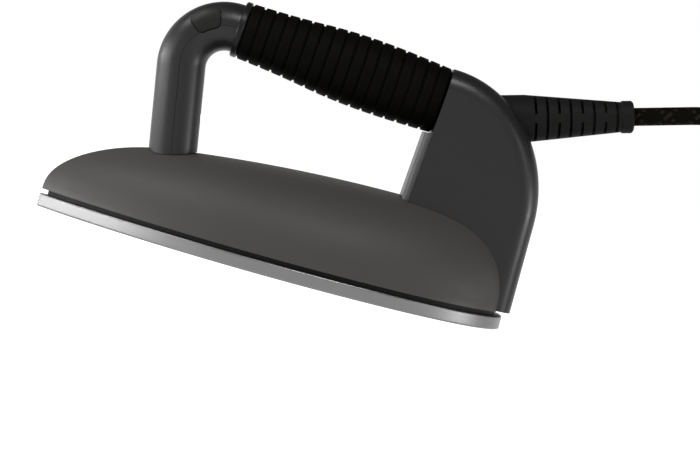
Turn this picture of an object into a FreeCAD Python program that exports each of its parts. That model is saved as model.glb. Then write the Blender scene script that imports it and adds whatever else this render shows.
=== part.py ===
"""Steam-station clothes iron: the handset with its supply hose and the hose's connector.

Millimetres, +Z up. The origin is the middle of the sole's underside, -X is the nose, +X is the
heel, and -Y is the side that carries the steam button. One STEP file is written for each node.
"""

import FreeCAD
import Part
import math
import os

V = FreeCAD.Vector
UP = V(0, 0, 1)
ACROSS = V(0, 1, 0)

# Overall sizes
SOLE_LENGTH = 228.0
SOLE_WIDTH = 114.0
OVERALL_HEIGHT = 119.5

# Clearances
SEAT_GAP = 0.3  # between mouldings that meet without touching
SLIP_GAP = 0.15  # round what is pushed into a socket
CAST_GAP = 0.05  # round what is cast in or screwed in

# Sole: a pointed nose and a blunt heel, each a quarter of a superellipse
SOLE_THICK = 6.3
SOLE_EDGE_ROUND = 0.8
NOSE_SHARE = 0.85  # most of the nose's own radius that its rounded rim may take
WIDEST_FROM_HEEL = 92.0
NOSE_POWERS = (1.9, 1.1)
HEEL_POWERS = (2.3, 2.0)
OUTLINE_STEPS = 8
STEAM_HOLE_R = 1.4
STEAM_HOLE_ROWS = ((33.0, 62.0, 8), (42.0, 78.0, 5))  # inset, first hole from the nose, count
STEAM_HOLE_PITCH = 11.5

# Heater casting and steam chamber
CASTING_INSET = 7.0
CASTING_THICK = 9.0
CHAMBER_INSET = 27.0
CHAMBER_FLOOR = 3.0
CHAMBER_FRONT = 56.0  # from the nose
CHAMBER_REAR = 36.0  # from the heel
COVER_INSET = 20.0
COVER_MARGIN = 8.0
GASKET_THICK = 0.8
COVER_THICK = 2.0
COVER_SCREW_INSET = 23.5
COVER_SCREW_R = 1.5
COVER_SCREW_DEPTH = 7.0
SCREW_HEAD_R = 2.8
SCREW_HEAD_THICK = 1.8

# Heating element: a U of sheathed tube with two cold ends
ELEMENT_R = 3.25
ELEMENT_INSET = 14.5
ELEMENT_FRONT = 40.0  # from the nose
ELEMENT_REAR = 43.0  # from the heel
COLD_END_R = 2.4
COLD_END_TOP = 26.0

# Controls on the chamber cover
THERMOSTAT_R = 9.0
THERMOSTAT_THICK = 5.5
THERMOSTAT_FROM_NOSE = 105.0
BRACKET_SIZE = (46.0, 13.0, 1.0)
FUSE_R = 2.1
FUSE_LENGTH = 11.0
INLET_FROM_HEEL = 44.0
INLET_BARB_R = 2.6
INLET_BORE_R = 1.6
INLET_FLANGE_R = 6.0
INLET_HEIGHT = 15.0
BARB_LENGTH = 6.0
BARB_LIP = 0.35
TUBE_THICK = 1.5
TUBE_REACH = 9.0  # straight run up to the hose's inner end
TUBE_RISE = 25.0  # how far below the hose the tube starts to lean back

# Skirt, heat shield and body cover
SEAM_Z = 8.6
BODY_INSET = 0.4
BODY_TOP = 49.7
BODY_WALL = 2.4
BODY_POWER = 2.3
CROWN_FROM_HEEL = 63.0
CROWN_RADIUS = 820.0
SPINE_FROM_HEEL = 38.0
DOME_STEPS = 8
SKIRT_BOTTOM = SOLE_THICK + 0.1
SKIRT_TOP = 12.5
SKIRT_WALL = 2.6
SKIRT_GAP = 0.9
SHIELD_Z = 28.0
SHIELD_THICK = 1.0
SHIELD_GAP = 1.5  # between the shield's rim and the body
SPACER_R = 3.6
SPACER_FRONT = 32.0  # from the nose
SPACER_REAR = (29.0, 25.4)  # from the heel, and to each side

# Handle: a leaning post, a bend and a sloping grip
TUBE_R = 11.5
TUBE_WALL = 2.2
POST_LEAN = 9.1
GRIP_SLOPE = 4.6
BEND_R = 20.5
POST_LENGTH = 37.5
COLLAR_R = 13.6
COLLAR_LENGTH = 3.0
CORE_WALL = 2.4
CORE_PLUG = 2.0  # how far the core reaches into the bend
GRIP_LENGTH = 99.0
GRIP_RADII = (13.5, 14.2, 15.2, 16.5, 17.2, 17.2, 16.7, 15.9)
RIB_COUNT = 17
RIB_GROOVE = 0.9
RIB_DEPTH = 1.0
FOOT_FLANGE = (15.0, 3.0)
FOOT_PAST_MIDDLE = 2.0  # how far the foot reaches past the middle of the bare post
POST_SCREW_SUNK = 1.8
POST_SCREW_HEAD = 1.1
POST_SCREW_LENGTH = 4.0

# Steam button on the bend, and its switch
BUTTON_ANGLES = (107.0, 139.0)
BUTTON_RISE = 8.6  # how far the cap reaches from the side's centre line towards the crest
BUTTON_DROP = 1.4  # and how far below that line
BUTTON_TILT = 26.0
BUTTON_PROUD = 0.5
BUTTON_CORNER = 3.2
BUTTON_GAP = 0.35
BUTTON_TRAVEL = 1.5
BUTTON_LIP = 1.0
LIP_THICK = 1.4
STEM_R = 2.0
SWITCH_SIZE = (12.8, 6.0, 6.0)
PLUNGER_R = 1.2
PLUNGER_FIT = 0.06
SWITCH_PLATE = 1.2

# Rear housing
HOUSING_WIDTH = 38.0
HOUSING_DEPTH = 55.5
HOUSING_WALL = 2.4
HOUSING_ROUND = 10.0
HOUSING_OVERHANG = 2.5
HOUSING_SPRING_Z = 52.0
HOUSING_CLEAR_Z = 27.4
STRIP_DROP = 37.8  # from the top of the handle down to the strip's top
STRIP_BOTTOM = 36.0
STRIP_PROUD = 3.5
STRIP_DEPTH = 2.0

# Hose boot
HOSE_R = 4.3
BOOT_ANGLE = 15.9
BOOT_END = (35.5, 5.5)  # behind the heel, and below the top of the handle, of the middle of its end
BOOT_ROOT_R = 11.4
BOOT_TIP_R = 7.2
BOOT_BEAD = (7.75, 5.7)
BOOT_LENGTH = 64.0
BOOT_PARALLEL = 12.0  # how much of it, from its root, doesn't taper
BOOT_GROOVES = 8
GROOVE_PITCH = 5.56
GROOVE_WIDTH = 1.3
GROOVE_FIRST = 2.4  # from the bead to the middle of the nearest slot
GROOVE_FLOOR = 1.3  # rubber left between the slots and the bore
GROOVE_WEB = 4.2

# Clamp on the hose inside the housing
CLAMP_SIZE = (6.0, 22.0, 13.0)
CLAMP_INSIDE = 4.0  # how far inside the boot's root
CLAMP_SCREW_SIDE = 8.0
CLAMP_SCREW_LENGTH = 9.0
INNER_HOSE = 8.0  # hose left inside the boot's root

# Electrical parts
BLOCK_SIZE = (12.0, HOUSING_WIDTH - 14.0, 9.0)
TERMINAL_PITCH = BLOCK_SIZE[1] / 3.2
BLOCK_RISE = 0.0974  # share of the housing's round back that the block's middle stands up
LEAD_R = 1.2
THIN_LEAD_R = 0.8

# Cables and tubes: share of each run that the arc at its end takes
ARC_SHARE = 0.45

# Hose lying free: hand-chosen points from the boot's end, measured from the heel
RING_CENTRE = (188.0, 6.0)
RING_MID_R = 45.0
HOSE_PITCH = 8.7
RING_TURNS = (3, 2)  # side by side, and layers
HOSE_STRAIGHT = 38.0
HOSE_ROUTE = (
    (102.0, -1.0, 125.2),
    (124.0, -8.0, 113.0),
    (139.0, -19.0, 91.0),
    (146.0, -33.0, 63.0),
    (156.0, -43.0, 39.0),
    (179.0, -48.0, 21.0),
    (209.0, -44.5, 13.2),
)

# Connector at the hose's far end
PLUG_SIZE = (46.0, 28.0, 24.0)
PLUG_ROUND = 6.0
PLUG_SHROUD = (11.0, 2.2)
PLUG_TAIL = (9.0, 5.6, 22.0)
PLUG_GAP = 62.0  # from the ring's middle to the tail
NIPPLE_R = 3.0
NIPPLE_LENGTH = 10.0
SEAL_SIZE = (5.4, 4.0, 1.8)  # outer and inner radius, and thickness
PIN_R = 1.2
PIN_LENGTH = 8.0
PIN_PITCH = 5.5
CONTACT_SIDE = 5.5  # how far the nipple and the pins stand to each side of the middle

NOSE_X = -SOLE_LENGTH / 2
HEEL_X = SOLE_LENGTH / 2
WIDEST_X = HEEL_X - WIDEST_FROM_HEEL
CASTING_TOP = SOLE_THICK + CASTING_THICK
GASKET_TOP = CASTING_TOP + GASKET_THICK
COVER_TOP = GASKET_TOP + COVER_THICK
SHIELD_TOP = SHIELD_Z + SHIELD_THICK

# The grip's axis is set out from the rear housing forwards, and the post hangs from its front end.
HOUSING_REAR_X = HEEL_X + HOUSING_OVERHANG
GRIP_DIR = V(math.cos(math.radians(GRIP_SLOPE)), 0, -math.sin(math.radians(GRIP_SLOPE)))
GRIP_UP = V(-GRIP_DIR.z, 0, GRIP_DIR.x)
SLEEVE_START = COLLAR_LENGTH + 0.3
SLEEVE_END = SLEEVE_START + GRIP_LENGTH
GRIP_FRONT_Z = OVERALL_HEIGHT - COLLAR_R
GRIP_REAR_Z = GRIP_FRONT_Z - SLEEVE_END * math.sin(math.radians(GRIP_SLOPE))
HOUSING_TOP_Z = GRIP_REAR_Z + GRIP_RADII[-1]
FRONT_TOP_X = HOUSING_REAR_X - HOUSING_DEPTH
STRIP_TOP = OVERALL_HEIGHT - STRIP_DROP
LEAN = math.tan(math.radians(GRIP_SLOPE))
GRIP_REAR_X = FRONT_TOP_X - LEAN * (HOUSING_TOP_Z - GRIP_REAR_Z)
BEND_END = V(GRIP_REAR_X, 0, GRIP_REAR_Z) - GRIP_DIR * (SLEEVE_END + SEAT_GAP)
BEND_CENTRE = BEND_END - GRIP_UP * BEND_R
START_ANGLE = 180.0 + POST_LEAN
END_ANGLE = 90.0 - GRIP_SLOPE
SPINE_FRONT_X = BEND_CENTRE.x - BEND_R + POST_LENGTH * math.tan(math.radians(POST_LEAN))
SPINE_REAR_X = HEEL_X - SPINE_FROM_HEEL
CROWN_X = HEEL_X - CROWN_FROM_HEEL


# ---- plain helpers -------------------------------------------------------------------------


def fuse(shapes):
    """One shape of all those given."""
    whole = shapes[0]
    for shape in shapes[1:]:
        whole = whole.fuse(shape)
    return whole.removeSplitter()


def group(shapes):
    """Separate solids that share one node."""
    return Part.makeCompound(shapes)


def rod(radius, start, end):
    """A round bar between two points."""
    along = end - start
    return Part.makeCylinder(radius, along.Length, start, along)


def pipe(outer, inner, start, end):
    """A round tube between two points."""
    over = (end - start).normalize()
    return rod(outer, start, end).cut(rod(inner, start - over, end + over))


def block(low, high):
    """A box between two corners."""
    size = high - low
    return Part.makeBox(size.x, size.y, size.z, low)


def both_sides(place):
    """A place and its mirror image across the middle."""
    return [place, V(place.x, -place.y, place.z)]


def turned(profile, start, along):
    """A solid of revolution about an axis, from (distance along, radius) pairs."""
    wire = Part.makePolygon([V(s, r, 0) for s, r in profile] + [V(profile[0][0], profile[0][1], 0)])
    solid = Part.Face(wire).revolve(V(0, 0, 0), V(1, 0, 0), 360)
    solid.Placement = FreeCAD.Placement(start, FreeCAD.Rotation(V(1, 0, 0), along))
    return solid


def screw(head, along, shank_r, length, thick=SCREW_HEAD_THICK):
    """A pan-head screw whose head sits on the place given and whose shank runs along."""
    shank = rod(shank_r, head, head + along * length)
    cap = rod(SCREW_HEAD_R, head - along * thick, head)
    slot = rod(SCREW_HEAD_R / 2, head - along * (thick + 1), head - along * (thick / 2))
    return fuse([shank, cap]).cut(slot)


def smooth_route(points):
    """Straight runs joined by tangent arcs as large as the runs allow, and the arcs' radii."""
    edges = []
    radii = []
    last = points[0]
    for before, corner, after in zip(points, points[1:], points[2:]):
        inward = (before - corner).normalize()
        outward = (after - corner).normalize()
        half_turn = (math.pi - inward.getAngle(outward)) / 2
        reach = ARC_SHARE * min((corner - before).Length, (after - corner).Length)
        radius = reach / math.tan(half_turn)
        middle = (inward + outward).normalize()
        top = corner + middle * (radius / math.cos(half_turn) - radius)
        first = corner + inward * reach
        second = corner + outward * reach
        edges += [Part.LineSegment(last, first).toShape(), Part.Arc(first, top, second).toShape()]
        radii.append(radius)
        last = second
    edges.append(Part.LineSegment(last, points[-1]).toShape())
    return Part.Wire(edges), radii


def cable(points, radius):
    """A round cable along a smooth route."""
    path, radii = smooth_route(points)
    start = points[0]
    ring = Part.Wire([Part.makeCircle(radius, start, points[1] - start)])
    return path.makePipeShell([ring], True, False), radii, path.Length


# ---- sole-shaped outlines ------------------------------------------------------------------


LAST_STEP = 2 * OUTLINE_STEPS
BEYOND = 4  # steps carried past the middle line, so that the two halves meet smoothly


def outline_point(step, inset):
    """A point of the outline: the nose is step 0 and the heel LAST_STEP, and beyond is mirrored."""
    if step < 0 or step > LAST_STEP:
        point = outline_point(-step if step < 0 else 2 * LAST_STEP - step, inset)
        return V(point.x, -point.y, 0)
    half_width = SOLE_WIDTH / 2 - inset
    if step <= OUTLINE_STEPS:
        angle = math.pi / 2 * step / OUTLINE_STEPS
        reach = WIDEST_X - NOSE_X - inset
        p, q = NOSE_POWERS
        along = -reach * max(math.cos(angle), 0) ** (2 / p)
        return V(WIDEST_X + along, half_width * math.sin(angle) ** (2 / q), 0)
    angle = math.pi / 2 * (LAST_STEP - step) / OUTLINE_STEPS
    reach = HEEL_X - WIDEST_X - inset
    p, q = HEEL_POWERS
    along = reach * math.cos(angle) ** (2 / p)
    return V(WIDEST_X + along, half_width * math.sin(angle) ** (2 / q), 0)


def half_width(x, inset):
    """The outline's half width at x."""
    if x < WIDEST_X:
        share = (WIDEST_X - x) / (WIDEST_X - NOSE_X - inset)
        p, q = NOSE_POWERS
    else:
        share = (x - WIDEST_X) / (HEEL_X - WIDEST_X - inset)
        p, q = HEEL_POWERS
    return (SOLE_WIDTH / 2 - inset) * (1 - share**p) ** (1 / q)


def outline(inset, z):
    """The sole's outline, moved inwards, as a closed face."""
    steps = range(-BEYOND, LAST_STEP + BEYOND + 1)
    points = [outline_point(step, inset) + V(0, 0, z) for step in steps]
    curve = Part.BSplineCurve()
    curve.interpolate(Points=points)
    nose, heel = points[BEYOND], points[BEYOND + LAST_STEP]
    side = curve.toShape(curve.parameter(nose), curve.parameter(heel))
    return Part.Face(Part.Wire([side, side.mirror(V(0, 0, 0), ACROSS)]))


def slab(inset, low, high):
    """A plate of the sole's outline, moved inwards."""
    return outline(inset, low).extrude(V(0, 0, high - low))


def between(solid, front, rear):
    """The part of a solid between two values of x."""
    far = SOLE_WIDTH
    return solid.common(block(V(front, -far, -1), V(rear, far, OVERALL_HEIGHT)))


# ---- body dome -----------------------------------------------------------------------------


def dome(inset, drop, base):
    """The body's full, convex dome as a closed solid, moved inwards and lowered."""
    rows = []
    for step in range(-BEYOND, LAST_STEP + BEYOND + 1):
        rim = outline_point(step, BODY_INSET + inset)
        share = (rim.x - NOSE_X) / SOLE_LENGTH
        spine_x = SPINE_FRONT_X + share * (SPINE_REAR_X - SPINE_FRONT_X)
        row = []
        for rise in range(DOME_STEPS + 1):
            angle = math.pi / 2 * rise / DOME_STEPS
            reach = max(math.cos(angle), 0) ** (2 / BODY_POWER)
            x = spine_x + (rim.x - spine_x) * reach
            crown = BODY_TOP - drop - (x - CROWN_X) ** 2 / (2 * CROWN_RADIUS)
            z = base + (crown - base) * math.sin(angle) ** (2 / BODY_POWER)
            row.append(V(x, rim.y * reach, z))
        rows.append(row)
    surface = Part.BSplineSurface()
    surface.interpolate(rows)
    nose = surface.parameter(rows[BEYOND][0])[0]
    heel = surface.parameter(rows[BEYOND + LAST_STEP][0])[0]
    surface.segment(nose, heel, *surface.bounds()[2:])
    side = surface.toShape()
    other = side.mirror(V(0, 0, 0), ACROSS)
    rims = [
        edge
        for face in (side, other)
        for edge in face.Edges
        if max(abs(vertex.Point.z - base) for vertex in edge.Vertexes) < 0.01
    ]
    floor = Part.Face(Part.Wire(rims))
    shell = Part.makeShell([side, other, floor])
    shell.sewShape()
    solid = Part.makeSolid(shell)
    if solid.Volume < 0:
        solid.reverse()
    return solid


# ---- handle --------------------------------------------------------------------------------


def bend_out(angle):
    """The direction away from the bend's centre at an angle."""
    return V(math.cos(math.radians(angle)), 0, math.sin(math.radians(angle)))


def bend_along(angle):
    """The direction along the handle, from post to grip, at an angle of the bend."""
    return V(math.sin(math.radians(angle)), 0, -math.cos(math.radians(angle)))


def bend_axis(angle):
    """A point of the tube's centre line in the bend."""
    return BEND_CENTRE + bend_out(angle) * BEND_R


POST_DIR = bend_along(START_ANGLE)
POST_TOP = bend_axis(START_ANGLE)
FOOT_TOP = (BODY_TOP + POST_TOP.z) / 2 + FOOT_PAST_MIDDLE


def post_at(z):
    """The post's axis at a height."""
    return POST_TOP + POST_DIR * ((z - POST_TOP.z) / POST_DIR.z)


def grip_at(s):
    """The grip's axis at a distance behind the bend."""
    return BEND_END + GRIP_DIR * s


def along_handle(section, post_bottom):
    """A section that stands across the top of the post, carried down the post and round the bend."""
    down = post_at(post_bottom) - POST_TOP
    post = section.extrude(down)
    bend = section.revolve(BEND_CENTRE, ACROSS, START_ANGLE - END_ANGLE)
    return fuse([post, bend])


def half_ring(outer, inner, side):
    """Half of a ring section across the post's top: side +1 faces out of the bend, -1 into it."""
    out = bend_out(START_ANGLE) * side
    gap = out * (SLIP_GAP / 2)
    left = -ACROSS
    arcs = []
    for radius in (outer, inner):
        low = POST_TOP + gap + left * radius
        high = POST_TOP + gap - left * radius
        arcs.append((low, POST_TOP + gap + out * radius, high))
    edges = [Part.Arc(*arcs[0]).toShape(), Part.Arc(*arcs[1]).toShape()]
    edges += [Part.makeLine(arcs[0][0], arcs[1][0]), Part.makeLine(arcs[0][2], arcs[1][2])]
    return Part.Face(Part.Wire(Part.__sortEdges__(edges)))


def bend_ring(outer, inner):
    """The whole bend as a bent tube, a little longer than the button's stretch at each end."""
    start = BUTTON_ANGLES[1] + 12
    place = bend_axis(start)
    disc = Part.Face(Part.Wire([Part.makeCircle(outer, place, bend_along(start))]))
    solid = disc.revolve(BEND_CENTRE, ACROSS, start - BUTTON_ANGLES[0] + 12)
    hole = Part.Face(Part.Wire([Part.makeCircle(inner, place, bend_along(start))]))
    return solid.cut(hole.revolve(BEND_CENTRE, ACROSS, start - BUTTON_ANGLES[0] + 12))


BUTTON_ANGLE = sum(BUTTON_ANGLES) / 2
BUTTON_OUT = -ACROSS * math.cos(math.radians(BUTTON_TILT)) + bend_out(BUTTON_ANGLE) * math.sin(
    math.radians(BUTTON_TILT)
)
BUTTON_LONG = bend_along(BUTTON_ANGLE)
BUTTON_MIDDLE = bend_axis(BUTTON_ANGLE)


def button_prism(grow):
    """The button's outline, a rounded stretch of the bend, carried along the way it is pressed."""
    shift = math.tan(math.radians(BUTTON_TILT))
    upper_y = math.sqrt(TUBE_R**2 - BUTTON_RISE**2)
    low = BEND_R - BUTTON_DROP - grow
    high = BEND_R + BUTTON_RISE + (TUBE_R - upper_y) * shift + grow
    spare = math.degrees(grow / (BEND_R + BUTTON_RISE / 2))
    angles = (BUTTON_ANGLES[0] - spare, BUTTON_ANGLE, BUTTON_ANGLES[1] + spare)
    plane = BEND_CENTRE - ACROSS * TUBE_R
    inner = [plane + bend_out(angle) * low for angle in angles]
    outer = [plane + bend_out(angle) * high for angle in angles]
    edges = [
        Part.Arc(*inner).toShape(),
        Part.makeLine(inner[2], outer[2]),
        Part.Arc(*reversed(outer)).toShape(),
        Part.makeLine(outer[0], inner[0]),
    ]
    face = Part.Face(Part.Wire(edges))
    face.translate(BUTTON_OUT * TUBE_R)
    prism = face.extrude(BUTTON_OUT * (-2 * TUBE_R))
    corners = [
        edge
        for edge in prism.Edges
        if edge.Curve.TypeId == "Part::GeomLine" and abs(edge.tangentAt(0).dot(BUTTON_OUT)) > 0.99
    ]
    return prism.makeFillet(BUTTON_CORNER + grow, corners)


def button_depth(depth):
    """The point on the button's axis at a distance out from the tube's centre line."""
    return BUTTON_MIDDLE + BUTTON_OUT * depth


def oriented_box(size, middle, long_dir, out_dir):
    """A box set along two directions at right angles to each other."""
    length, width, height = size
    box = Part.makeBox(length, width, height, V(-length / 2, -width / 2, -height / 2))
    side = out_dir.cross(long_dir)
    turn = FreeCAD.Matrix(
        long_dir.x, side.x, out_dir.x, middle.x,
        long_dir.y, side.y, out_dir.y, middle.y,
        long_dir.z, side.z, out_dir.z, middle.z,
        0, 0, 0, 1,
    )  # fmt: skip
    return box.transformGeometry(turn)


LIP_OUT = TUBE_R - TUBE_WALL - SEAT_GAP
SWITCH_TOP = SWITCH_SIZE[2] / 2
PLUNGER_TIP = SWITCH_TOP + BUTTON_TRAVEL + 0.2
PLUNGER_FOOT = SWITCH_TOP - 2.0


def steam_button():
    """The cap, its retaining lip and its stem."""
    cap = button_prism(-BUTTON_GAP).common(bend_ring(TUBE_R + BUTTON_PROUD, LIP_OUT - 0.4))
    lip = button_prism(BUTTON_LIP).common(bend_ring(LIP_OUT, LIP_OUT - LIP_THICK))
    stem = rod(STEM_R, button_depth(PLUNGER_TIP + 0.2), button_depth(LIP_OUT - 0.5))
    return fuse([cap, lip, stem])


def switch_body():
    """The microswitch, bored for its plunger."""
    body = oriented_box(SWITCH_SIZE, BUTTON_MIDDLE, BUTTON_LONG, BUTTON_OUT)
    bore_end = button_depth(PLUNGER_FOOT - BUTTON_TRAVEL - 0.3)
    return body.cut(rod(PLUNGER_R + PLUNGER_FIT, bore_end, button_depth(SWITCH_TOP + 1)))


def switch_plunger():
    """The plunger that the button's stem presses."""
    return rod(PLUNGER_R, button_depth(PLUNGER_FOOT), button_depth(PLUNGER_TIP))


def switch_bracket():
    """The plate under the microswitch, trimmed to the inside of the tube."""
    middle = button_depth(-SWITCH_TOP - CAST_GAP - SWITCH_PLATE / 2)
    size = (SWITCH_SIZE[0], 2 * (TUBE_R - TUBE_WALL), SWITCH_PLATE)
    plate = oriented_box(size, middle, BUTTON_LONG, BUTTON_OUT)
    plate = plate.common(bend_ring(TUBE_R - TUBE_WALL - SLIP_GAP, 0.01))
    return plate.cut(rod(TUBE_R - TUBE_WALL, grip_at(-CORE_PLUG - SEAT_GAP), grip_at(0)))


def handle_shell(side):
    """One of the two mouldings of the post and bend, seated on the dome and cut for the button."""
    shell = along_handle(half_ring(TUBE_R, TUBE_R - TUBE_WALL, side), SHIELD_TOP)
    shell = shell.cut(dome(-SEAT_GAP, -SEAT_GAP, SEAM_Z))
    return shell.cut(button_prism(0))


def handle_foot():
    """The insert that carries the post on the heat shield."""
    bottom = post_at(SHIELD_TOP)
    top = post_at(FOOT_TOP)
    outer = TUBE_R - TUBE_WALL - SLIP_GAP
    flange_r, flange_thick = FOOT_FLANGE
    flange = rod(flange_r, bottom, bottom + UP * flange_thick)
    tube = rod(outer, post_at(SHIELD_Z), top)
    foot = fuse([flange, tube]).cut(block(V(-500, -500, 0), V(500, 500, SHIELD_TOP)))
    foot = foot.cut(rod(outer - TUBE_WALL, post_at(SHIELD_Z - 5), post_at(FOOT_TOP + 5)))
    for place in foot_screw_places():
        foot = foot.cut(rod(COVER_SCREW_R + CAST_GAP, place - UP, place + UP * flange_thick * 2))
    return foot.cut(rod(COVER_SCREW_R + CAST_GAP, *post_screw_line()))


def foot_screw_places():
    """Where the foot is screwed to the heat shield, on the shield's underside."""
    centre = post_at(SHIELD_TOP)
    reach = FOOT_FLANGE[0] - 3.2
    return [V(centre.x, side * reach, SHIELD_Z) for side in (-1, 1)]


def post_screw_line():
    """The line of the screw that ties the shells to the foot, from inside the handle's loop."""
    middle = post_at((FOOT_TOP + BODY_TOP) / 2)
    inward = -bend_out(START_ANGLE)
    return middle + inward * (TUBE_R - POST_SCREW_SUNK), middle + inward * (TUBE_R - 2 * TUBE_WALL - 2)


def handle_screws():
    """Two screws up into the foot and one through the rear shell."""
    screws = [screw(place, UP, COVER_SCREW_R, FOOT_FLANGE[1]) for place in foot_screw_places()]
    head, tip = post_screw_line()
    along = (tip - head).normalize()
    return group(screws + [screw(head, along, COVER_SCREW_R, POST_SCREW_LENGTH, POST_SCREW_HEAD)])


def handle_rear_shell():
    """The shell that faces the grip, with a counterbore for its screw."""
    head, tip = post_screw_line()
    outward = (head - tip).normalize()
    shell = handle_shell(-1)
    shell = shell.cut(rod(SCREW_HEAD_R + SLIP_GAP, head, head + outward * 5))
    return shell.cut(rod(COVER_SCREW_R + CAST_GAP, head + outward, tip))


def grip_collar():
    """The ring between the bend and the rubber sleeve."""
    inner = TUBE_R - TUBE_WALL
    edge = 0.5
    front = CAST_GAP
    rear = front + COLLAR_LENGTH
    profile = [
        (front, inner),
        (front, COLLAR_R - edge),
        (front + edge, COLLAR_R),
        (rear - edge, COLLAR_R),
        (rear, COLLAR_R - edge),
        (rear, inner),
    ]
    return turned(profile, BEND_END, GRIP_DIR)


def grip_core():
    """The tube inside the sleeve, plugged into the bend and the rear housing."""
    outer = TUBE_R - TUBE_WALL - SLIP_GAP
    return pipe(outer, outer - CORE_WALL, grip_at(-CORE_PLUG), grip_at(SLEEVE_END + HOUSING_WALL + 1))


def rubber_grip():
    """The swelling, ribbed rubber sleeve."""
    count = len(GRIP_RADII)
    crown = [
        V(SLEEVE_START + GRIP_LENGTH * i / (count - 1), radius, 0)
        for i, radius in enumerate(GRIP_RADII)
    ]
    curve = Part.BSplineCurve()
    curve.interpolate(Points=crown)
    inner = TUBE_R - TUBE_WALL
    front = V(SLEEVE_START, inner, 0)
    rear = V(SLEEVE_END, inner, 0)
    edges = [
        curve.toShape(),
        Part.makeLine(crown[-1], rear),
        Part.makeLine(rear, front),
        Part.makeLine(front, crown[0]),
    ]
    sleeve = Part.Face(Part.Wire(edges)).revolve(V(0, 0, 0), V(1, 0, 0), 360)
    pitch = GRIP_LENGTH / RIB_COUNT
    for i in range(1, RIB_COUNT):
        middle = SLEEVE_START + pitch * i
        bottom = curve.value(curve.parameter(V(middle, GRIP_RADII[0], 0))).y - RIB_DEPTH
        left = V(middle - RIB_GROOVE / 2, 0, 0)
        right = V(middle + RIB_GROOVE / 2, 0, 0)
        sleeve = sleeve.cut(pipe(2 * TUBE_R, bottom, left, right))
    sleeve.Placement = FreeCAD.Placement(BEND_END, FreeCAD.Rotation(V(1, 0, 0), GRIP_DIR))
    return sleeve


# ---- rear housing --------------------------------------------------------------------------


def front_x(z):
    """Where the housing's front stands at a height: it is square to the grip."""
    return FRONT_TOP_X - LEAN * (HOUSING_TOP_Z - z)


def housing_form(inset, bottom):
    """The rear housing's outside form, moved inwards: a flat-sided upright with a round back."""
    depth = HOUSING_REAR_X - FRONT_TOP_X - inset
    height = HOUSING_TOP_Z - HOUSING_SPRING_Z - inset
    start = math.acos(inset / depth)
    edges = []
    places = []
    for angle in (start, start / 2, 0):
        x = FRONT_TOP_X + depth * math.cos(angle)
        places.append(V(x, 0, HOUSING_SPRING_Z + height * math.sin(angle)))
    centre = V(FRONT_TOP_X, 0, HOUSING_SPRING_Z)
    if height > depth:
        major, minor = V(FRONT_TOP_X, 0, HOUSING_SPRING_Z + height), V(FRONT_TOP_X + depth, 0, centre.z)
    else:
        major, minor = V(FRONT_TOP_X + depth, 0, centre.z), V(FRONT_TOP_X, 0, HOUSING_SPRING_Z + height)
    ellipse = Part.Ellipse(major, minor, centre)
    first, last = sorted(ellipse.parameter(place) for place in (places[0], places[2]))
    if last - first > math.pi:
        first, last = last, first + 2 * math.pi
    back = Part.ArcOfEllipse(ellipse, first, last).toShape()
    heel = V(HOUSING_REAR_X - inset, 0, bottom)
    toe = V(front_x(bottom) + inset, 0, bottom)
    edges = [
        back,
        Part.makeLine(places[2], heel),
        Part.makeLine(heel, toe),
        Part.makeLine(toe, places[0]),
    ]
    half = HOUSING_WIDTH / 2 - inset
    face = Part.Face(Part.Wire(Part.__sortEdges__(edges)))
    face.translate(V(0, -half, 0))
    solid = face.extrude(V(0, 2 * half, 0))
    rear = HOUSING_REAR_X - inset
    rounded = [
        edge
        for edge in solid.Edges
        if edge.BoundBox.YLength < 0.01
        and (edge.Curve.TypeId == "Part::GeomEllipse" or abs(edge.BoundBox.XMin - rear) < 0.01)
        and edge.BoundBox.ZLength > 1
    ]
    return solid.makeFillet(HOUSING_ROUND - inset, rounded)


def rear_housing():
    """The upright at the back, open in front for its strip, bored for the grip and the boot."""
    bottom = SEAM_Z + 0.3
    shell = housing_form(0, bottom).cut(housing_form(HOUSING_WALL, bottom - 5))
    window = HOUSING_WIDTH / 2 - HOUSING_WALL
    shell = shell.cut(
        block(V(front_x(0) - 20, -window, 0), V(front_x(STRIP_TOP) + 2 * HOUSING_WALL, window, STRIP_TOP))
    )
    inside = dome(BODY_WALL, BODY_WALL, SEAM_Z - SEAT_GAP)
    shell = shell.cut(slab(HOUSING_WALL, 0, HOUSING_CLEAR_Z).common(inside))
    socket = TUBE_R - TUBE_WALL
    shell = shell.cut(rod(socket, grip_at(SLEEVE_END - 5), grip_at(SLEEVE_END + 12)))
    return shell.cut(rod(BOOT_ROOT_R + SEAT_GAP, boot_at(-20), boot_at(BOOT_LENGTH)))


def housing_strip(grow=0.0):
    """The strip that closes the housing's front and stands proud of it."""
    half = HOUSING_WIDTH / 2 - HOUSING_WALL - SLIP_GAP + grow
    proud = STRIP_PROUD + grow
    low = STRIP_BOTTOM - grow
    high = STRIP_TOP - SLIP_GAP + grow
    corners = [
        V(front_x(low) - proud, -half, low),
        V(front_x(low) + STRIP_DEPTH, -half, low),
        V(front_x(high) + STRIP_DEPTH, -half, high),
        V(front_x(high) - proud, -half, high),
    ]
    strip = Part.Face(Part.makePolygon(corners + corners[:1])).extrude(V(0, 2 * half, 0))
    front = [edge for edge in strip.Edges if edge.BoundBox.XMax < front_x(high) - proud + 0.01]
    upright = [edge for edge in front if edge.BoundBox.ZLength > 1]
    return strip.makeFillet(STRIP_PROUD - 0.5, upright)


def body_cover():
    """The dome's moulded shell, cut for the post and the rear housing."""
    shell = dome(0, 0, SEAM_Z).cut(dome(BODY_WALL, BODY_WALL, SEAM_Z - SEAT_GAP))
    post_hole = rod(TUBE_R - TUBE_WALL + SEAT_GAP, post_at(SHIELD_Z), post_at(BODY_TOP + 5))
    shell = shell.cut(post_hole)
    shell = shell.cut(housing_form(-SEAT_GAP, SEAM_Z - 3))
    return shell.cut(housing_strip(SEAT_GAP))


# ---- base stack ----------------------------------------------------------------------------


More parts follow.
